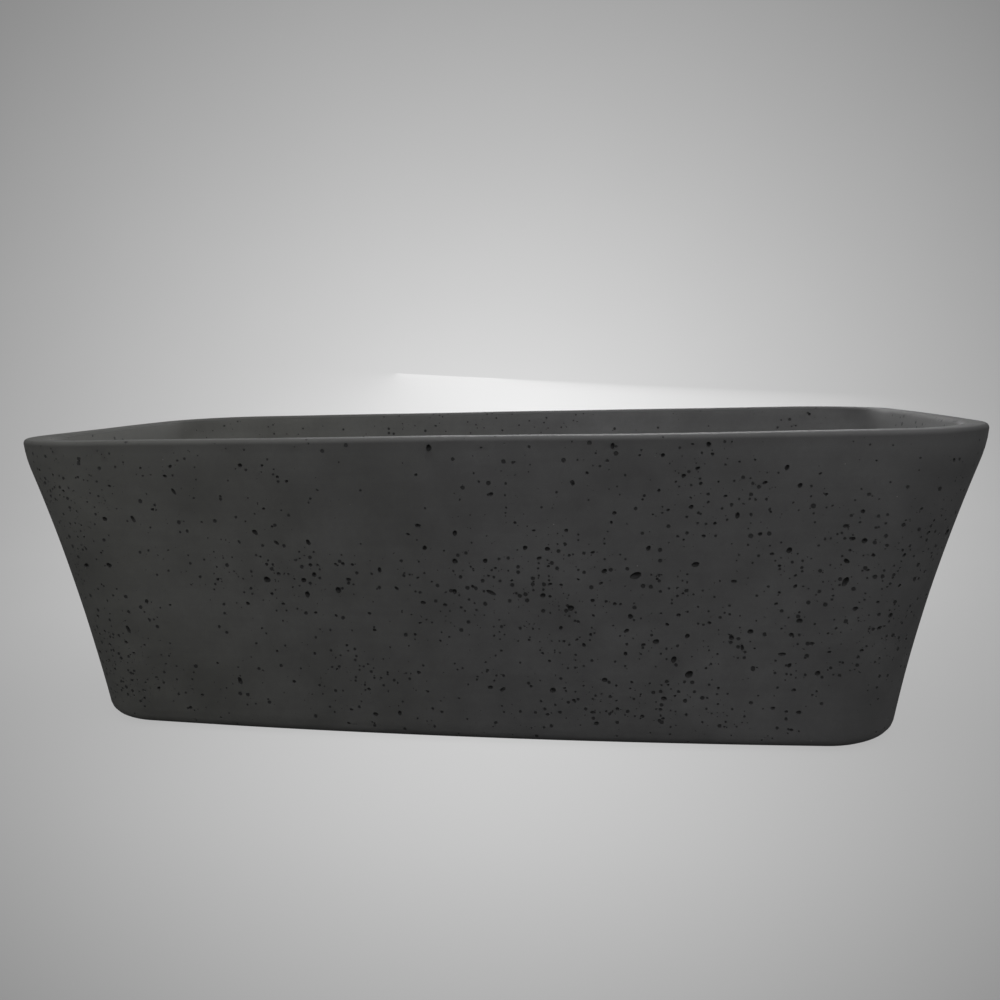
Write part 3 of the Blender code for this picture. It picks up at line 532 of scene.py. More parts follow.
def sprinkle(casting, rng, count, zones, radii, skew, flatten, levels, front_only):
    """Scatters pores over some zones, evenly by area, thinned by how thickly they lie there."""
    rows = [i for i, zone in enumerate(casting.zones) if zone in zones]
    weights = []
    for r in rows:
        gap = casting.grid[(r + 1) % casting.rows] - casting.grid[r]
        weights.append(float(np.linalg.norm(gap, axis=1).mean()))
    made = tries = 0
    while made < count and tries < count * 20:
        tries += 1
        row = rng.choices(rows, weights)[0] + rng.random()
        column = rng.random() * casting.columns
        place, _ = casting.at(row, column)
        if front_only is not None and (place[1] < -0.25) != front_only:
            continue
        if rng.random() * 1.5 > pore_density(place):
            continue
        radius = radii[0] + (radii[1] - radii[0]) * rng.random() ** skew
        squash = 1 - flatten * rng.random()
        depth = radius * rng.uniform(0.7, 1.1) * ZONE_DEPTH[casting.zones[int(row) % casting.rows]]
        tilt = rng.uniform(-0.6, 0.6)
        made += casting.stamp(row, column, radius * squash, radius, tilt, depth, uneven(rng, 0.22), levels)


def make_casting():
    """The casting with its listed voids and its scattered pores."""
    rng = random.Random(447)
    casting = Casting()
    for x, z, wide, tall, tilt in FRONT_VOIDS:
        row, column = casting.nearest(front_place(x / 1000, z / 1000), ("outer", "edge"))
        tall_radius, wide_radius = tall / 2000, wide / 2000
        depth = 0.8 * min(tall_radius, wide_radius) + 0.001
        outline = uneven(rng, 0.16)
        casting.stamp(row, column, tall_radius, wide_radius, math.radians(tilt), depth, outline, DEEP)
    for batch in SCATTERED:
        sprinkle(casting, rng, *batch)
    return add_piece("tub_casting", casting.mesh("tub_casting"))


def add_piece(name, mesh):
    """A new object in the scene."""
    piece = bpy.data.objects.new(name, mesh)
    bpy.context.scene.collection.objects.link(piece)
    return piece


# ---------------------------------------------------------------- materials


class Nodes:
    """Short calls for building one material's nodes."""

    def __init__(self, name):
        self.material = bpy.data.materials.new(name)
        self.material.use_nodes = True
        self.tree = self.material.node_tree
        self.shader = self.tree.nodes["Principled BSDF"]
        self.place = self.tree.nodes.new("ShaderNodeTexCoord").outputs["Object"]

    def link(self, source, target):
        if isinstance(source, (int, float, tuple)):
            target.default_value = source
        else:
            self.tree.links.new(source, target)

    def node(self, kind, **inputs):
        node = self.tree.nodes.new(kind)
        for name, source in inputs.items():
            self.link(source, node.inputs[name])
        return node

    def noise(self, scale, detail=3.0, roughness=0.5, vector=None):
        vector = vector or self.place
        return self.node(
            "ShaderNodeTexNoise", Vector=vector, Scale=scale, Detail=detail, Roughness=roughness
        ).outputs["Fac"]

    def stretched(self, scale):
        return self.node("ShaderNodeMapping", Vector=self.place, Scale=scale).outputs["Vector"]

    def math(self, operation, a, b=0.0, c=0.0):
        node = self.tree.nodes.new("ShaderNodeMath")
        node.operation = operation
        for socket, source in zip(node.inputs, (a, b, c)):
            self.link(source, socket)
        return node.outputs[0]

    def vector(self, operation, a, b=(0.0, 0.0, 0.0)):
        node = self.tree.nodes.new("ShaderNodeVectorMath")
        node.operation = operation
        self.link(a, node.inputs[0])
        self.link(b, node.inputs[1])
        return node.outputs["Value"] if operation in ("LENGTH", "DOT_PRODUCT") else node.outputs[0]

    def product(self, first, *others):
        for other in others:
            first = self.math("MULTIPLY", first, other)
        return first

    def map(self, value, low, high, to_low, to_high):
        node = self.node("ShaderNodeMapRange", Value=value)
        ends = {"From Min": low, "From Max": high, "To Min": to_low, "To Max": to_high}
        for socket, amount in ends.items():
            self.link(amount, node.inputs[socket])
        return node.outputs["Result"]

    def mix(self, share, a, b):
        node = self.tree.nodes.new("ShaderNodeMix")
        node.data_type = "RGBA"
        for socket, source in zip([s for s in node.inputs if s.enabled], (share, a, b)):
            self.link(source, socket)
        return node.outputs["Result"]

    def toned(self, color, tone):
        """A colour made lighter or darker by a number near 1."""
        scaled = self.tree.nodes.new("ShaderNodeVectorMath")
        scaled.operation = "SCALE"
        self.link(color[:3] if isinstance(color, tuple) else color, scaled.inputs[0])
        self.link(tone, scaled.inputs["Scale"])
        return scaled.outputs[0]

    def attribute(self, name):
        node = self.tree.nodes.new("ShaderNodeAttribute")
        node.attribute_name = name
        return node.outputs["Fac"]

    def bump(self, height, distance, strength=1.0, normal=None):
        node = self.node("ShaderNodeBump", Height=height, Distance=distance, Strength=strength)
        if normal is not None:
            self.link(normal, node.inputs["Normal"])
        return node.outputs["Normal"]


def small_pores(n, vector, spacing, radius, share):
    """A mask of round pores: a share of the cells, spacing metres apart, hold one of up to that radius."""
    cells = n.node("ShaderNodeTexVoronoi", Vector=vector, Scale=1 / spacing)
    chance = n.node("ShaderNodeSeparateColor", Color=cells.outputs["Color"])
    present = n.math("LESS_THAN", chance.outputs[0], share)
    size = n.map(chance.outputs[1], 0.0, 1.0, 0.55 * radius / spacing, radius / spacing)
    inside = n.map(n.math("DIVIDE", cells.outputs["Distance"], size), 0.85, 1.05, 1.0, 0.0)
    return n.product(inside, present)


def concrete_material():
    """Dark cast concrete: cloudy tone, fine grain, air pores too small for the mesh, and pale specks. Painted
    light and shade are in its colour too: the pores painted near black for the shade in them, the basin's
    side painted paler and the rim darker.
    """
    n = Nodes("dark_concrete")
    cloud = n.noise(2.8, 5.0, 0.62)
    blotch = n.noise(11.0, 5.0, 0.62)
    fine = n.noise(75.0, 4.0, 0.65)
    grain = n.noise(850.0, 2.0, 0.6)
    streak = n.noise(9.0, 3.0, 0.6, n.stretched((0.6, 0.6, 9.0)))
    tone = n.product(
        n.map(cloud, 0.30, 0.70, 0.85, 1.15),
        n.map(blotch, 0.30, 0.70, 0.87, 1.13),
        n.map(fine, 0.25, 0.75, 0.91, 1.09),
        n.map(grain, 0.20, 0.80, 0.88, 1.12),
        n.map(streak, 0.30, 0.70, 0.97, 1.03),
        # The last factor is painted light and shade: the basin's side painted paler, the rim painted darker.
        n.attribute("painted_zone_light"),
    )
    along = n.node("ShaderNodeSeparateXYZ", Vector=n.place).outputs["X"]
    warm = n.map(n.math("ADD", along, n.product(cloud, 0.8)), -0.2, 0.5, 1.0, 0.0)
    base = n.mix(warm, (0.0400, 0.0400, 0.0402, 1), (0.0402, 0.0404, 0.0372, 1))
    color = n.toned(base, tone)
    wobble = n.node("ShaderNodeTexNoise", Vector=n.place, Scale=320.0, Detail=1.0).outputs["Color"]
    vector = n.vector("ADD", n.place, n.toned(wobble, 0.0016))
    thick = n.attribute("thickness_of_pores")
    holes = small_pores(n, vector, 0.0140, 0.0040, n.product(thick, 0.42))
    holes = n.math("MAXIMUM", holes, small_pores(n, vector, 0.0085, 0.0024, n.product(thick, 0.20)))
    holes = n.math("MAXIMUM", holes, small_pores(n, vector, 0.0050, 0.0012, n.product(thick, 0.10)))
    # Painted shade in the pores: the shader's small pores and the mesh pores' inner rings are coloured near
    # black, standing in for the shade in their hollows. The small pores' bump is real relief.
    painted_shade_in_pores = n.math("MAXIMUM", holes, n.attribute("painted_pore_shade"))
    color = n.mix(n.product(painted_shade_in_pores, 0.93), color, (0.004, 0.004, 0.004, 1))
    grit = n.node("ShaderNodeTexVoronoi", Vector=n.place, Scale=110.0)
    chance = n.node("ShaderNodeSeparateColor", Color=grit.outputs["Color"]).outputs[0]
    spot = n.map(grit.outputs["Distance"], 0.06, 0.12, 0.7, 0.0)
    speck = n.product(n.math("LESS_THAN", chance, 0.008), spot)
    color = n.mix(speck, color, (0.16, 0.16, 0.15, 1))
    n.link(color, n.shader.inputs["Base Color"])
    rough = n.math("ADD", n.map(blotch, 0.3, 0.7, 0.68, 0.80), n.map(fine, 0.3, 0.7, -0.03, 0.03))
    n.link(rough, n.shader.inputs["Roughness"])
    n.shader.inputs["Specular IOR Level"].default_value = 0.35
    normal = n.bump(n.math("SUBTRACT", n.product(fine, 0.12), holes), 0.0018, 1.0)
    n.link(n.bump(grain, 0.00015, 0.6, normal), n.shader.inputs["Normal"])
    return n.material


def worn_material(name, color, roughness, metallic=0.0, spread=0.10, size=0.02, relief=0.00003, stretch=None):
    """A metal, plastic or rubber whose tone and shine vary over a fine surface, which can be brushed."""
    n = Nodes(name)
    broad = n.noise(1 / size, 4.0, 0.6)
    fine = n.noise(12 / size, 3.0, 0.6, n.stretched(stretch) if stretch else None)
    tone = n.product(n.map(broad, 0.3, 0.7, 1 - spread, 1 + spread), n.map(fine, 0.3, 0.7, 0.95, 1.05))
    n.link(n.toned(color, tone), n.shader.inputs["Base Color"])
    rough = n.math("ADD", n.map(broad, 0.3, 0.7, roughness * 0.85, roughness * 1.15), n.product(fine, 0.06))
    n.link(rough, n.shader.inputs["Roughness"])
    n.shader.inputs["Metallic"].default_value = metallic
    n.link(n.bump(fine, relief, 0.8), n.shader.inputs["Normal"])
    return n.material


def turned_metal():
    """Brushed stainless steel, brushed round the waste's axis."""
    n = Nodes("brushed_steel")
    split = n.node("ShaderNodeSeparateXYZ", Vector=n.place)
    x, y = split.outputs["X"], split.outputs["Y"]
    radius = n.math("SQRT", n.math("ADD", n.product(x, x), n.product(y, y)))
    turn = n.math("ARCTAN2", y, x)
    lines = n.node("ShaderNodeCombineXYZ", X=n.product(radius, 9000.0), Y=n.product(turn, 1.5), Z=0.0)
    brushed = n.noise(1.0, 3.0, 0.6, lines.outputs[0])
    smear = n.noise(60.0, 3.0, 0.5)
    tone = n.product(n.map(brushed, 0.3, 0.7, 0.93, 1.05), n.map(smear, 0.3, 0.7, 0.95, 1.04))
    n.link(n.toned((0.56, 0.56, 0.55), tone), n.shader.inputs["Base Color"])
    rough = n.math("ADD", n.product(brushed, 0.12), n.map(smear, 0.3, 0.7, 0.20, 0.28))
    n.link(rough, n.shader.inputs["Roughness"])
    n.shader.inputs["Metallic"].default_value = 1.0
    n.link(n.bump(brushed, 0.00002, 0.7), n.shader.inputs["Normal"])
    return n.material


# The material of each slot.
LOOKS = {
    "concrete": concrete_material(),
    "brushed_metal": turned_metal(),
    "zinc_steel": worn_material("zinc_plated_steel", (0.60, 0.60, 0.62), 0.34, 1.0, 0.14, 0.012),
    "brass": worn_material("brass", (0.70, 0.52, 0.25), 0.32, 1.0, 0.12, 0.008),
    "spring_steel": worn_material("spring_steel", (0.42, 0.42, 0.43), 0.35, 1.0, 0.08, 0.004),
    "black_rubber": worn_material("black_rubber", (0.022, 0.022, 0.022), 0.80, 0.0, 0.18, 0.015, 0.00008),
    "white_plastic": worn_material("white_plastic", (0.74, 0.74, 0.72), 0.42, 0.0, 0.03, 0.03, 0.00002),
    "black_plastic": worn_material("black_plastic", (0.030, 0.030, 0.032), 0.48, 0.0, 0.15, 0.02, 0.00005),
}


# ---------------------------------------------------------------- fittings: shapes

FINE_SIDES = 96


def softened(profile, radius, closed=True, steps=3):
    """A profile of (radius, height) points with its corners rounded. Points on the axis stay as they are."""
    rounded = []
    count = len(profile)
    for i, point in enumerate(profile):
        here = np.array(point, float)
        before, after = np.array(profile[i - 1], float), np.array(profile[(i + 1) % count], float)
        if here[0] == 0 or (not closed and i in (0, count - 1)):
            rounded.append(tuple(here))
            continue
        back, on = before - here, after - here
        cut = min(radius, np.linalg.norm(back) * 0.4, np.linalg.norm(on) * 0.4)
        start = here + back / np.linalg.norm(back) * cut
        end = here + on / np.linalg.norm(on) * cut
        for j in range(steps + 1):
            t = j / steps
            rounded.append(tuple(start * (1 - t) ** 2 + 2 * here * t * (1 - t) + end * t * t))
    return rounded


def turned(name, profile, sides=FINE_SIDES, shape=None, keep_sharp=50):
    """A solid turned round Z from a closed profile. shape(angle, point number) scales the radius."""
    points, rings = [], []
    for number, (radius, height) in enumerate(profile):
        if radius == 0:
            rings.append([len(points)])
            points.append((0, 0, height))
            continue
        rings.append(list(range(len(points), len(points) + sides)))
        for i in range(sides):
            angle = math.tau * i / sides
            reach = radius * (shape(angle, number) if shape else 1)
            points.append((reach * math.cos(angle), reach * math.sin(angle), height))
    faces = []
    for k, ring in enumerate(rings):
        after = rings[(k + 1) % len(rings)]
        if len(ring) == 1 and len(after) == 1:
            continue
        for i in range(sides):
            j = (i + 1) % sides
            face = [ring[i % len(ring)], ring[j % len(ring)], after[j % len(after)], after[i % len(after)]]
            faces.append(tuple(dict.fromkeys(face)))
    mesh = bpy.data.meshes.new(name)
    mesh.from_pydata(points, [], faces)
    return finished(mesh, keep_sharp)


def finished(mesh, keep_sharp=50):
    """Faces turned outwards, shaded smooth but for edges sharper than an angle in degrees."""
    shape = bmesh.new()
    shape.from_mesh(mesh)
    bmesh.ops.recalc_face_normals(shape, faces=shape.faces)
    if shape.calc_volume(signed=True) < 0:
        bmesh.ops.reverse_faces(shape, faces=shape.faces)
    shape.to_mesh(mesh)
    shape.free()
    mesh.shade_smooth()
    mesh.set_sharp_from_angle(angle=math.radians(keep_sharp))
    return mesh


def hex_reach(angle):
    """How far a hexagon with flats 2 apart, and a flat across X, reaches at an angle."""
    return 1 / math.cos((angle + math.pi / 6) % (math.pi / 3) - math.pi / 6)


def hex_nut(name, flats, bottom, top, bore):
    """A hexagon nut or collar with its corners chamfered, and a countersunk bore."""
    half, corner = flats / 2, flats / math.sqrt(3)
    drop = (corner - half) * math.tan(math.radians(30))
    upper = [(top - drop * i / 4, half + (corner - half) * i / 4) for i in range(5)]
    limits = upper + [(bottom + (top - z), r) for z, r in reversed(upper)]
    sink = min(0.0006, (top - bottom) / 8)
    profile = [(bore, top - sink), (bore + sink, top)] + [(half, z) for z, _ in limits]
    profile += [(bore + sink, bottom), (bore, bottom + sink)]

    def shape(angle, number):
        if not 2 <= number < 2 + len(limits):
            return 1
        return min(hex_reach(angle), limits[number - 2][1] / half)

    return turned(name, profile, 96, shape, keep_sharp=25)


def knurled(count, depth, outer_points):
    """A shape function with ribs, on the profile's outer points."""

    def shape(angle, number):
        if number not in outer_points:
            return 1
        return 1 - depth * max(0.0, min(1.0, 0.5 + 1.6 * math.cos(count * angle)))

    return shape


def swept_tube(name, path, outer, inner, sides=64):
    """A tube along a path in the XZ plane, with its bore: a closed solid with two open ends."""
    points, rings = [], []
    directions = []
    for i in range(len(path)):
        back, on = path[max(i - 1, 0)], path[min(i + 1, len(path) - 1)]
        length = math.hypot(on[0] - back[0], on[1] - back[1])
        directions.append(((on[0] - back[0]) / length, (on[1] - back[1]) / length))
    edge = 0.0006
    trips = [(outer, range(len(path))), (inner, reversed(range(len(path))))]
    for radius, trip in trips:
        for i in trip:
            (x, z), (dx, dz) = path[i], directions[i]
            first = len(points)
            shrink = edge / 2 if i in (0, len(path) - 1) and radius == outer else 0.0
            for k in range(sides):
                angle = math.tau * k / sides
                side, up = (radius - shrink) * math.cos(angle), (radius - shrink) * math.sin(angle)
                points.append((x - dz * up, side, z + dx * up))
            rings.append(range(first, first + sides))
    faces = []
    for k, ring in enumerate(rings):
        after = rings[(k + 1) % len(rings)]
        for i in range(sides):
            j = (i + 1) % sides
            faces.append((ring[i], ring[j], after[j], after[i]))
    mesh = bpy.data.meshes.new(name)
    mesh.from_pydata(points, [], faces)
    return finished(mesh, 40)


def rounded_block(name, size, centre, radius):
    """A box with rounded edges, as its own mesh."""
    shape = bmesh.new()
    bmesh.ops.create_cube(shape, size=1)
    bmesh.ops.scale(shape, vec=size, verts=shape.verts)
    bmesh.ops.translate(shape, vec=centre, verts=shape.verts)
    bmesh.ops.bevel(shape, geom=shape.edges, offset=radius, segments=2, affect="EDGES", profile=0.5)
    mesh = bpy.data.meshes.new(name)
    shape.to_mesh(mesh)
    shape.free()
    return mesh


def joined(piece, others, operation="UNION"):
    """Applies Booleans with the other meshes to a piece, and shades the result."""
    for number, mesh in enumerate(others):
        other = bpy.data.objects.new(f"helper_{number}", mesh)
        bpy.context.scene.collection.objects.link(other)
        modifier = piece.modifiers.new("join", "BOOLEAN")
        modifier.object, modifier.operation, modifier.solver = other, operation, "EXACT"
        bpy.context.view_layer.update()
        evaluated = piece.evaluated_get(bpy.context.evaluated_depsgraph_get())
        mesh = bpy.data.meshes.new_from_object(evaluated)
        piece.modifiers.clear()
        piece.data = mesh
        bpy.data.objects.remove(other)
    piece.data.shade_smooth()
    piece.data.set_sharp_from_angle(angle=math.radians(35))
    return piece


# ---------------------------------------------------------------- fittings: the pieces

GAP = 0.0003
FLANGE_RADIUS, FLANGE_BODY, TUBE_RADIUS, TUBE_BORE = 0.036, 0.030, 0.024, 0.021
FLANGE_RIM, FLANGE_DEPTH, DISH_RADIUS, DISH_DEPTH = 0.0030, 0.0090, 0.0315, 0.0060
HUB_BORE, HUB_RADIUS, SPOKE_WIDTH, SPOKE_HEIGHT = 0.0096, 0.0126, 0.0030, 0.0070
SPIDER_DROP, SPIDER_HEIGHT = 0.0240, 0.0080  # the drop is from the basin's floor to the spider's top
CAP_RADIUS, CAP_HUB, CAP_DOME, CAP_PLATE = 0.030, 0.0085, 0.0045, 0.0020
PLUNGER, PLUNGER_FOOT = 0.0040, 0.0058
CARTRIDGE_RADIUS, CARTRIDGE_BORE, CARTRIDGE_DRAIN = 0.0093, 0.0063, 0.0020
DIP_RADIUS, DIP_BORE, DIP_COLLAR = 0.0200, 0.0175, 0.0235
POT_RADIUS, POT_WALL, POT_TOP, POT_SHOULDER = 0.052, 0.003, 0.0823, 0.006
OUTLET_HEIGHT, STUB_RADIUS, PIPE_RADIUS, PIPE_WALL, PIPE_BEND = 0.0570, 0.0243, 0.020, 0.002, 0.025
BALL_RADIUS, STUD_RADIUS, PAD_SOLE, PITCH = 0.008, 0.006, 0.005, 0.00175
COLLAR_FLATS, LOCKNUT_FLATS, NUT_FLATS = 0.017, 0.019, 0.064
COLLAR_HEIGHT, LOCKNUT_HEIGHT = 0.010, 0.007

RIBBED_NUT = {"sides": 192, "shape": knurled(24, 0.045, range(2, 6)), "keep_sharp": 35}


def levels_of(node):
    """The lowest and the highest level of a CAD node."""
    low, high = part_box(node)
    return low[2], high[2]


def put(piece, body, node, slot, place=None):
    """Gives a piece the slot's material, a place if one is given, and its body, and hides the CAD node that
    it stands for.
    """
    piece.data.materials.clear()
    piece.data.materials.append(LOOKS[slot])
    if place:
        piece.location = place
    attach(piece, body)
    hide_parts(node)


def dress(node, slot):
    """Gives a CAD node that stays in sight its slot's material."""
    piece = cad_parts[node]
    if not piece.material_slots:
        piece.data.materials.append(LOOKS[slot])
    for place in piece.material_slots:
        place.material = LOOKS[slot]


def turned_piece(name, profile, body, node, slot, **how):
    """A piece turned on the waste's axis, put in its CAD node's place."""
    put(add_piece(name, turned(name, profile, **how)), body, node, slot)


def ring_piece(node, inner, outer, slot, soften=0.0004, shape=None):
    """A ring on the waste's axis, as high as its CAD node."""
    low, high = levels_of(node)
    profile = softened([(outer, high), (outer, low), (inner, low), (inner, high)], soften)
    turned_piece("fine_" + node, profile, "bath", node, slot, shape=shape)


def turned_along_pipe(name, profile, **how):
    """A solid turned round the outlet's level axis, with the profile's heights along X."""
    mesh = turned(name, profile, **how)
    mesh.transform(Matrix.Translation((0, 0, OUTLET_HEIGHT)) @ Matrix.Rotation(math.pi / 2, 4, "Y"))
    return mesh


def make_plug():
    """The domed cap, its lip seal and the plunger."""
    low, top = levels_of("plug_cap")
    edge = top - CAP_DOME
    dome = [(CAP_RADIUS * math.sin(t), edge + (top - edge) * math.cos(t)) for t in quarter_turn(18)]
    under, socket, roof = edge - CAP_PLATE, PLUNGER + GAP, edge - 0.0015
    rim = softened([dome[-2], dome[-1], (CAP_RADIUS, under), (CAP_HUB, under)], 0.0006, closed=False)
    hub = [(CAP_HUB, under), (CAP_HUB, low), (socket, low), (socket, roof)]
    profile = dome[:-2] + rim[:-1] + softened(hub, 0.0004, closed=False) + [(0, roof)]
    profile[0] = (0, top)
    turned_piece("plug_dome", profile, "plug", "plug_cap", "brushed_metal", sides=128)
    low, high = levels_of("plug_seal")
    wide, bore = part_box("plug_seal")[1][0], CAP_HUB + GAP
    lip = softened([(wide, high), (wide - 0.0042, low), (bore, low), (bore, high)], 0.0003)
    turned_piece("plug_lip_seal", lip, "plug", "plug_seal", "black_rubber")
    low, high = levels_of("plug_plunger")
    foot = low + 0.0030
    stem = [(0, high), (PLUNGER, high), (PLUNGER, foot), (PLUNGER_FOOT, foot), (PLUNGER_FOOT, low), (0, low)]
    turned_piece("plug_stem", softened(stem, 0.0004), "plug", "plug_plunger", "brass", sides=48)


def make_cartridge():
    """The cartridge that the plunger clicks in, its collar and its spring."""
    low, high = levels_of("cartridge_body")
    inside = low + 0.0025
    profile = [(CARTRIDGE_RADIUS, high), (CARTRIDGE_RADIUS, low), (CARTRIDGE_DRAIN, low)]
    profile += [(CARTRIDGE_DRAIN, inside), (CARTRIDGE_BORE, inside), (CARTRIDGE_BORE, high)]
    profile = softened(profile, 0.0004)
    turned_piece("click_cartridge", profile, "bath", "cartridge_body", "white_plastic", sides=64)
    grip = knurled(32, 0.05, range(8))
    ring_piece("cartridge_collar", PLUNGER + 0.0005, CARTRIDGE_RADIUS, "brass", shape=grip)
    dress("plug_spring", "spring_steel")


def make_waste():
    """The dished flange with its tube, and the spider of three spokes that holds the cartridge."""
    end, top = levels_of("waste_flange")
    profile = [(FLANGE_RADIUS, top), (FLANGE_RADIUS, top - FLANGE_RIM), (FLANGE_BODY, top - FLANGE_RIM)]
    profile += [(FLANGE_BODY, top - FLANGE_DEPTH), (TUBE_RADIUS, top - FLANGE_DEPTH), (TUBE_RADIUS, end)]
    profile += [(TUBE_BORE, end), (TUBE_BORE, top - DISH_DEPTH), (DISH_RADIUS, top)]
    flange = add_piece("waste_outlet", turned("waste_outlet", softened(profile, 0.0007), 128))
    high = BASIN_FLOOR - SPIDER_DROP
    low = high - SPIDER_HEIGHT
    hub = [(HUB_RADIUS, high), (HUB_RADIUS, low), (0, low), (0, high)]
    helpers = [turned("spider_hub", softened(hub, 0.0005), 64)]
    reach = TUBE_BORE + 0.0015
    size, centre = (reach, SPOKE_WIDTH, SPOKE_HEIGHT), (reach / 2, 0, (high + low) / 2)
    for i in range(3):
        spoke = rounded_block("spider_spoke", size, centre, 0.0005)
        spoke.transform(Matrix.Rotation(math.tau * i / 3, 4, "Z"))
        helpers.append(spoke)
    joined(flange, helpers)
    above, below = high + 0.004, low - 0.004
    bore = [(HUB_BORE, above), (HUB_BORE, below), (0, below), (0, above)]
    joined(flange, [turned("spider_bore", bore, 64)], "DIFFERENCE")
    put(flange, "bath", "waste_flange", "brushed_metal")


def make_clamp():
    """The seal under the flange, and the gasket, washer and nut under the slab."""
    ring_piece("flange_seal", FLANGE_BODY + GAP, FLANGE_RADIUS, "black_rubber")
    wide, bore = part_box("under_gasket")[1][0], TUBE_RADIUS + GAP
    ring_piece("under_gasket", bore, wide, "black_rubber", soften=0.0010)
    ring_piece("slip_washer", bore, wide, "white_plastic", soften=0.0003)
    nut = hex_nut("slab_nut", NUT_FLATS, *levels_of("back_nut"), bore)
    put(add_piece("slab_nut", nut), "bath", "back_nut", "black_plastic")


def make_coupling():
    """The washer and the ribbed nut that join the trap to the waste's tube."""
    ring_piece("coupling_washer", DIP_BORE + 0.0005, TUBE_RADIUS - GAP, "black_rubber")
    low, high = levels_of("coupling_nut")
    outer, lip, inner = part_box("coupling_nut")[1][0], DIP_RADIUS + GAP, TUBE_RADIUS + GAP
    seat = low + 0.0030
    profile = [(outer, high), (outer, low), (lip, low), (lip, seat), (inner, seat), (inner, high)]
    profile = softened(profile, 0.0012)
    turned_piece("ribbed_coupling_nut", profile, "bath", "coupling_nut", "white_plastic", **RIBBED_NUT)


def make_trap():
    """The pot with its dip pipe, and the outlet stub on its side."""
    foot, top = levels_of("trap_body")
    roof, inner, dip_end = POT_TOP - POT_WALL, POT_RADIUS - POT_WALL, foot + 0.0062
    seat = top - 0.0024
    profile = [(DIP_COLLAR, top), (DIP_COLLAR, seat), (DIP_RADIUS, seat), (DIP_RADIUS, POT_TOP)]
    profile += [
        (POT_RADIUS - POT_SHOULDER * (1 - math.sin(t)), POT_TOP - POT_SHOULDER * (1 - math.cos(t)))
        for t in quarter_turn(6)
    ]
    profile += [(POT_RADIUS, foot), (inner, foot), (inner, roof - 0.004), (inner - 0.004, roof)]
    profile += [(DIP_RADIUS, roof), (DIP_RADIUS, dip_end), (DIP_BORE, dip_end), (DIP_BORE, top)]
    pot = add_piece("trap_pot", turned("trap_pot", softened(profile, 0.0006), 128))
    start, end = inner - POT_WALL / 2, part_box("trap_body")[1][0]
    stub = softened([(STUB_RADIUS, end), (STUB_RADIUS, start), (0, start), (0, end)], 0.0006)
    joined(pot, [turned_along_pipe("outlet_stub", stub)])
    bore, start, beyond = PIPE_RADIUS + GAP, DIP_RADIUS + POT_WALL, end + 0.004
    cutter = [(bore, beyond), (bore, start), (0, start), (0, beyond)]
    joined(pot, [turned_along_pipe("outlet_bore", cutter)], "DIFFERENCE")
    put(pot, "bath", "trap_body", "white_plastic")


def make_cleaning_cap():
    """The ribbed cap under the trap, with a bar to turn it by, and its seal."""
    low, rim = levels_of("trap_cap")
    base, outer, inner = low + 0.0040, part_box("trap_cap")[1][0], POT_RADIUS + GAP
    floor = base + 0.0030
    profile = [(0, floor), (inner, floor), (inner, rim), (outer, rim), (outer, base), (0, base)]
    grip = knurled(40, 0.022, range(9, 17))
    mesh = turned("trap_cleaning_cap", softened(profile, 0.0010), 240, grip, keep_sharp=35)
    cap = add_piece("trap_cleaning_cap", mesh)
    bar = (POT_RADIUS * 1.4, 0.006, 0.00475)
    joined(cap, [rounded_block("cap_rib", bar, (0, 0, low + bar[2] / 2), 0.0010)])
    put(cap, "bath", "trap_cap", "white_plastic")
    ring_piece("trap_cap_seal", POT_RADIUS - 0.005, POT_RADIUS, "black_rubber")


def make_outlet():
    """The pipe that turns down to the floor, and the washer and nut that hold it in the stub."""
    low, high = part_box("outlet_pipe")
    turn, mouth = high[0] - PIPE_RADIUS - PIPE_BEND, 0.0006
    path = [(low[0], OUTLET_HEIGHT), (low[0] + mouth, OUTLET_HEIGHT), (turn - 0.001, OUTLET_HEIGHT)]
    path += [
        (turn + PIPE_BEND * math.sin(t), OUTLET_HEIGHT - PIPE_BEND * (1 - math.cos(t)))
        for t in quarter_turn(16)
    ]
    path += [(turn + PIPE_BEND, low[2] + mouth), (turn + PIPE_BEND, low[2])]
    pipe = swept_tube("waste_pipe", path, PIPE_RADIUS, PIPE_RADIUS - PIPE_WALL)
    put(add_piece("waste_pipe", pipe), "bath", "outlet_pipe", "white_plastic")
    bore = PIPE_RADIUS + GAP
    (start, _, _), (end, _, _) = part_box("outlet_washer")
    washer = softened([(STUB_RADIUS, end), (STUB_RADIUS, start), (bore, start), (bore, end)], 0.0004)
    washer = add_piece("pipe_washer", turned_along_pipe("pipe_washer", washer))
    put(washer, "bath", "outlet_washer", "black_rubber")
    (start, _, _), (end, outer, _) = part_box("outlet_nut")
    inner, lip = STUB_RADIUS + GAP, end - 0.0040
    nut = [(outer, end), (outer, start), (inner, start), (inner, lip), (bore, lip), (bore, end)]
    nut = turned_along_pipe("ribbed_pipe_nut", softened(nut, 0.0012), **RIBBED_NUT)
    put(add_piece("ribbed_pipe_nut", nut), "bath", "outlet_nut", "white_plastic")


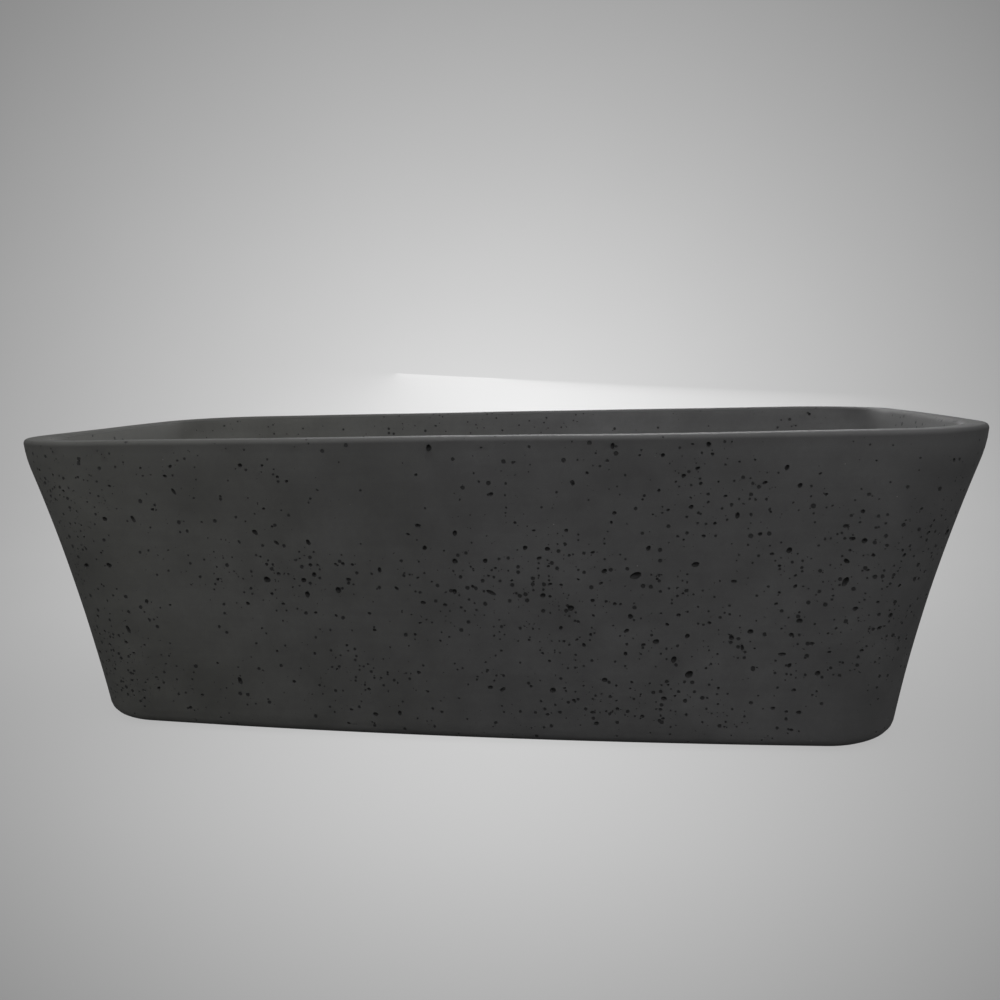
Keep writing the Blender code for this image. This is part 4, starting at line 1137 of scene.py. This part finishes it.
def stud_mesh():
    """The foot's stud: ball and neck, thread, hexagonal collar and the plain end in the socket."""
    centre = PAD_SOLE + GAP + BALL_RADIUS
    high = levels_of("foot_stud_1")[1]
    collar_top = SLAB_UNDERSIDE - LOCKNUT_HEIGHT - 2 * GAP
    collar_low = collar_top - COLLAR_HEIGHT
    half, corner = COLLAR_FLATS / 2, COLLAR_FLATS / math.sqrt(3)
    neck_radius, root_radius = STUD_RADIUS * 0.8, STUD_RADIUS * 0.85
    neck = math.asin(neck_radius / BALL_RADIUS)
    ball = [
        (BALL_RADIUS * math.sin(a), centre + BALL_RADIUS * math.cos(a))
        for a in (math.pi - (math.pi - neck) * i / 14 for i in range(15))
    ]
    ball[0] = (0, centre - BALL_RADIUS)
    profile = ball + [(neck_radius, ball[-1][1] + 0.002), (root_radius, ball[-1][1] + 0.0025)]
    start = profile[-1][1] + PITCH / 4
    first = len(profile)
    rows = int((collar_low - 0.0015 - start) / (PITCH / 4))
    profile += [(STUD_RADIUS, start + PITCH / 4 * i) for i in range(rows)]
    last = len(profile)
    profile += [(root_radius, profile[-1][1] + 0.0003), (root_radius, collar_low)]
    chamfer = (corner - half) * math.tan(math.radians(30))
    first_flat = len(profile)
    limits = [(collar_low + chamfer * i / 3, half + (corner - half) * i / 3) for i in range(4)]
    limits += [(collar_top - chamfer * i / 3, half + (corner - half) * i / 3) for i in range(3, -1, -1)]
    profile += [(half, z) for z, _ in limits]
    profile += [(STUD_RADIUS, collar_top), (STUD_RADIUS, high - 0.001), (STUD_RADIUS - 0.001, high)]
    profile.append((0, high))

    def shape(angle, number):
        if first_flat <= number < first_flat + len(limits):
            return min(hex_reach(angle), limits[number - first_flat][1] / half)
        if not first <= number < last:
            return 1
        wave = abs(((profile[number][1] / PITCH - angle / math.tau) % 1) * 2 - 1)
        return 1 - 0.16 * wave

    return turned("levelling_stud", profile, 48, shape, keep_sharp=40)


def pad_mesh():
    """The foot's pad: broad sole with grooves under it, flank, boss and ball seat."""
    seat, centre = BALL_RADIUS + GAP, PAD_SOLE + GAP + BALL_RADIUS
    low, high = levels_of("foot_pad_1")
    radius = (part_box("foot_pad_1")[1][0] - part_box("foot_pad_1")[0][0]) / 2
    grip = math.acos(max(-1.0, min(1.0, (high - centre) / seat)))
    hollow = [
        (seat * math.sin(a), centre + seat * math.cos(a))
        for a in (math.pi - (math.pi - grip) * i / 12 for i in range(13))
    ]
    hollow[0] = (0, centre - seat)
    boss = BALL_RADIUS + 0.004
    outline = [hollow[-1], (boss, high), (boss + 0.003, PAD_SOLE + high / 4), (radius, PAD_SOLE)]
    outline += [(radius, 0.001), (radius - 0.001, low)]
    profile = hollow + softened(outline, 0.0012, closed=False)[1:]
    deep = low + 0.0008
    for reach in (0.024, 0.018, 0.012):
        profile += [(reach, low), (reach - 0.0004, deep), (reach - 0.0016, deep), (reach - 0.0020, low)]
    return turned("rubber_pad", profile + [(0, low)], 72, keep_sharp=45)


def make_feet():
    """Four studs, pads and lock nuts, which share their meshes, and the sockets' brass."""
    stud, pad = stud_mesh(), pad_mesh()
    nut = hex_nut("lock_nut", LOCKNUT_FLATS, *levels_of("foot_locknut_1"), STUD_RADIUS + 0.0005)
    for number in range(1, 5):
        (x0, y0, _), (x1, y1, _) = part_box(f"foot_pad_{number}")
        place = ((x0 + x1) / 2, (y0 + y1) / 2, 0)
        for name, mesh, body, node, slot in (
            ("levelling_stud", stud, f"foot_{number}", "foot_stud", "zinc_steel"),
            ("rubber_pad", pad, f"foot_{number}", "foot_pad", "black_rubber"),
            ("lock_nut", nut, "bath", "foot_locknut", "zinc_steel"),
        ):
            put(add_piece(f"{name}_{number}", mesh), body, f"{node}_{number}", slot, place)
        dress(f"foot_socket_{number}", "brass")


# ---------------------------------------------------------------- stage, light and camera

# The sheet's painted glow, a pool of light painted into its emission and colour, is round about this line of
# sight.
PAINTED_GLOW_FROM = (0.26, -1.69, 0.65)
PAINTED_GLOW_AXIS = (-0.1395, 0.9774, -0.1585)


def sweep_material():
    """Pale paper with a painted pool of light: a soft round glow, brightest behind the bath, painted into
    both its colour and its emission. Most of its tone is its own painted light.
    """
    n = Nodes("studio_sweep")
    ray = n.vector("SUBTRACT", n.place, PAINTED_GLOW_FROM)
    ahead = n.math("MAXIMUM", n.vector("DOT_PRODUCT", ray, PAINTED_GLOW_AXIS), 0.05)
    aside = n.vector("LENGTH", n.vector("CROSS_PRODUCT", ray, PAINTED_GLOW_AXIS))
    spread = n.math("MINIMUM", n.math("DIVIDE", aside, ahead), 1.3)
    square = n.product(spread, spread, 0.16)
    tone = n.math("ADD", n.math("MULTIPLY_ADD", spread, -0.770, 0.862), square)
    tone = n.product(tone, n.map(n.noise(1.5, 2.0), 0.3, 0.7, 0.995, 1.005))
    # Painted light: the glow sets both the sheet's colour and the light it gives off.
    n.link(n.toned((0.11, 0.11, 0.11), tone), n.shader.inputs["Base Color"])
    n.link(n.toned((0.86, 0.86, 0.86), tone), n.shader.inputs["Emission Color"])
    n.shader.inputs["Emission Strength"].default_value = 1.0
    n.shader.inputs["Roughness"].default_value = 0.95
    n.shader.inputs["Specular IOR Level"].default_value = 0.0
    return n.material


def make_stage():
    """One seamless sheet, a floor that curves up into a wall. It sends no bounced light to the bath."""
    wall, radius, top, half, floor = 4.2, 2.2, 6.0, 12.0, -0.0004
    line = [(-14.0, floor), (-3.0, floor), (0.0, floor), (wall - radius, floor)]
    line += [
        (wall - radius + radius * math.sin(t), floor + radius * (1 - math.cos(t)))
        for t in quarter_turn(24)[1:]
    ]
    line.append((wall, top))
    points = [(x, y, z) for y, z in line for x in (-half, half)]
    faces = [(2 * i, 2 * i + 1, 2 * i + 3, 2 * i + 2) for i in range(len(line) - 1)]
    mesh = bpy.data.meshes.new("studio_sweep")
    mesh.from_pydata(points, [], faces)
    mesh.shade_smooth()
    mesh.materials.append(sweep_material())
    sheet = add_piece("studio_sweep", mesh)
    sheet.visible_diffuse = False
    sheet.visible_glossy = False


def area_light(name, place, target, size, power):
    """A rectangular lamp, facing a target."""
    data = bpy.data.lights.new(name, "AREA")
    data.shape = "RECTANGLE"
    data.size, data.size_y = size
    data.energy = power
    light = bpy.data.objects.new(name, data)
    light.location = place
    light.rotation_euler = (Vector(target) - Vector(place)).to_track_quat("-Z", "Y").to_euler()
    bpy.context.scene.collection.objects.link(light)


def make_light():
    """Air that is brighter above than below, and five soft lamps."""
    world = bpy.data.worlds.new("studio_air")
    bpy.context.scene.world = world
    world.use_nodes = True
    tree = world.node_tree
    background = tree.nodes["Background"]
    place = tree.nodes.new("ShaderNodeTexCoord").outputs["Generated"]
    split = tree.nodes.new("ShaderNodeSeparateXYZ")
    tree.links.new(place, split.inputs[0])
    rise = tree.nodes.new("ShaderNodeMapRange")
    tree.links.new(split.outputs["Z"], rise.inputs["Value"])
    for name, value in (("From Min", -0.4), ("From Max", 0.4), ("To Min", 0.08), ("To Max", 0.34)):
        rise.inputs[name].default_value = value
    tree.links.new(rise.outputs["Result"], background.inputs["Strength"])
    background.inputs["Color"].default_value = (1, 1, 1, 1)
    area_light("high_softbox", (0.0, -0.1, 2.6), (0, 0.1, 0.3), (3.0, 1.6), 52)
    area_light("front_softbox", (0.2, -3.2, 3.2), (0, 0, 0.4), (3.5, 2.0), 53)
    area_light("left_softbox", (-2.6, -2.5, 1.9), (0, 0, 0.3), (2.0, 2.0), 36)
    area_light("right_softbox", (2.6, -2.5, 1.9), (0, 0, 0.3), (2.0, 2.0), 39)
    area_light("back_softbox", (0.3, 3.3, 1.2), (0, 0, 0.3), (3.0, 1.2), 80)


def make_camera():
    """The photo's viewing angle."""
    data = bpy.data.cameras.new("camera")
    data.sensor_width = 36.0
    data.lens = 28.33
    camera = bpy.data.objects.new("camera", data)
    yaw, pitch, roll = 0.1418, 0.1592, 0.0259
    forward = Vector((-math.sin(yaw) * math.cos(pitch), math.cos(yaw) * math.cos(pitch), -math.sin(pitch)))
    turn = forward.to_track_quat("-Z", "Y").to_matrix() @ Matrix.Rotation(-roll, 3, "Z")
    camera.matrix_world = Matrix.Translation((0.2572, -1.6893, 0.6491)) @ turn.to_4x4()
    bpy.context.scene.collection.objects.link(camera)
    bpy.context.scene.camera = camera


def main():
    bpy.context.scene.view_settings.view_transform = "Standard"
    make_camera()
    put(make_casting(), "bath", "tub_shell", "concrete")
    make_plug()
    make_cartridge()
    make_waste()
    make_clamp()
    make_coupling()
    make_trap()
    make_cleaning_cap()
    make_outlet()
    make_feet()
    make_stage()
    make_light()


main()
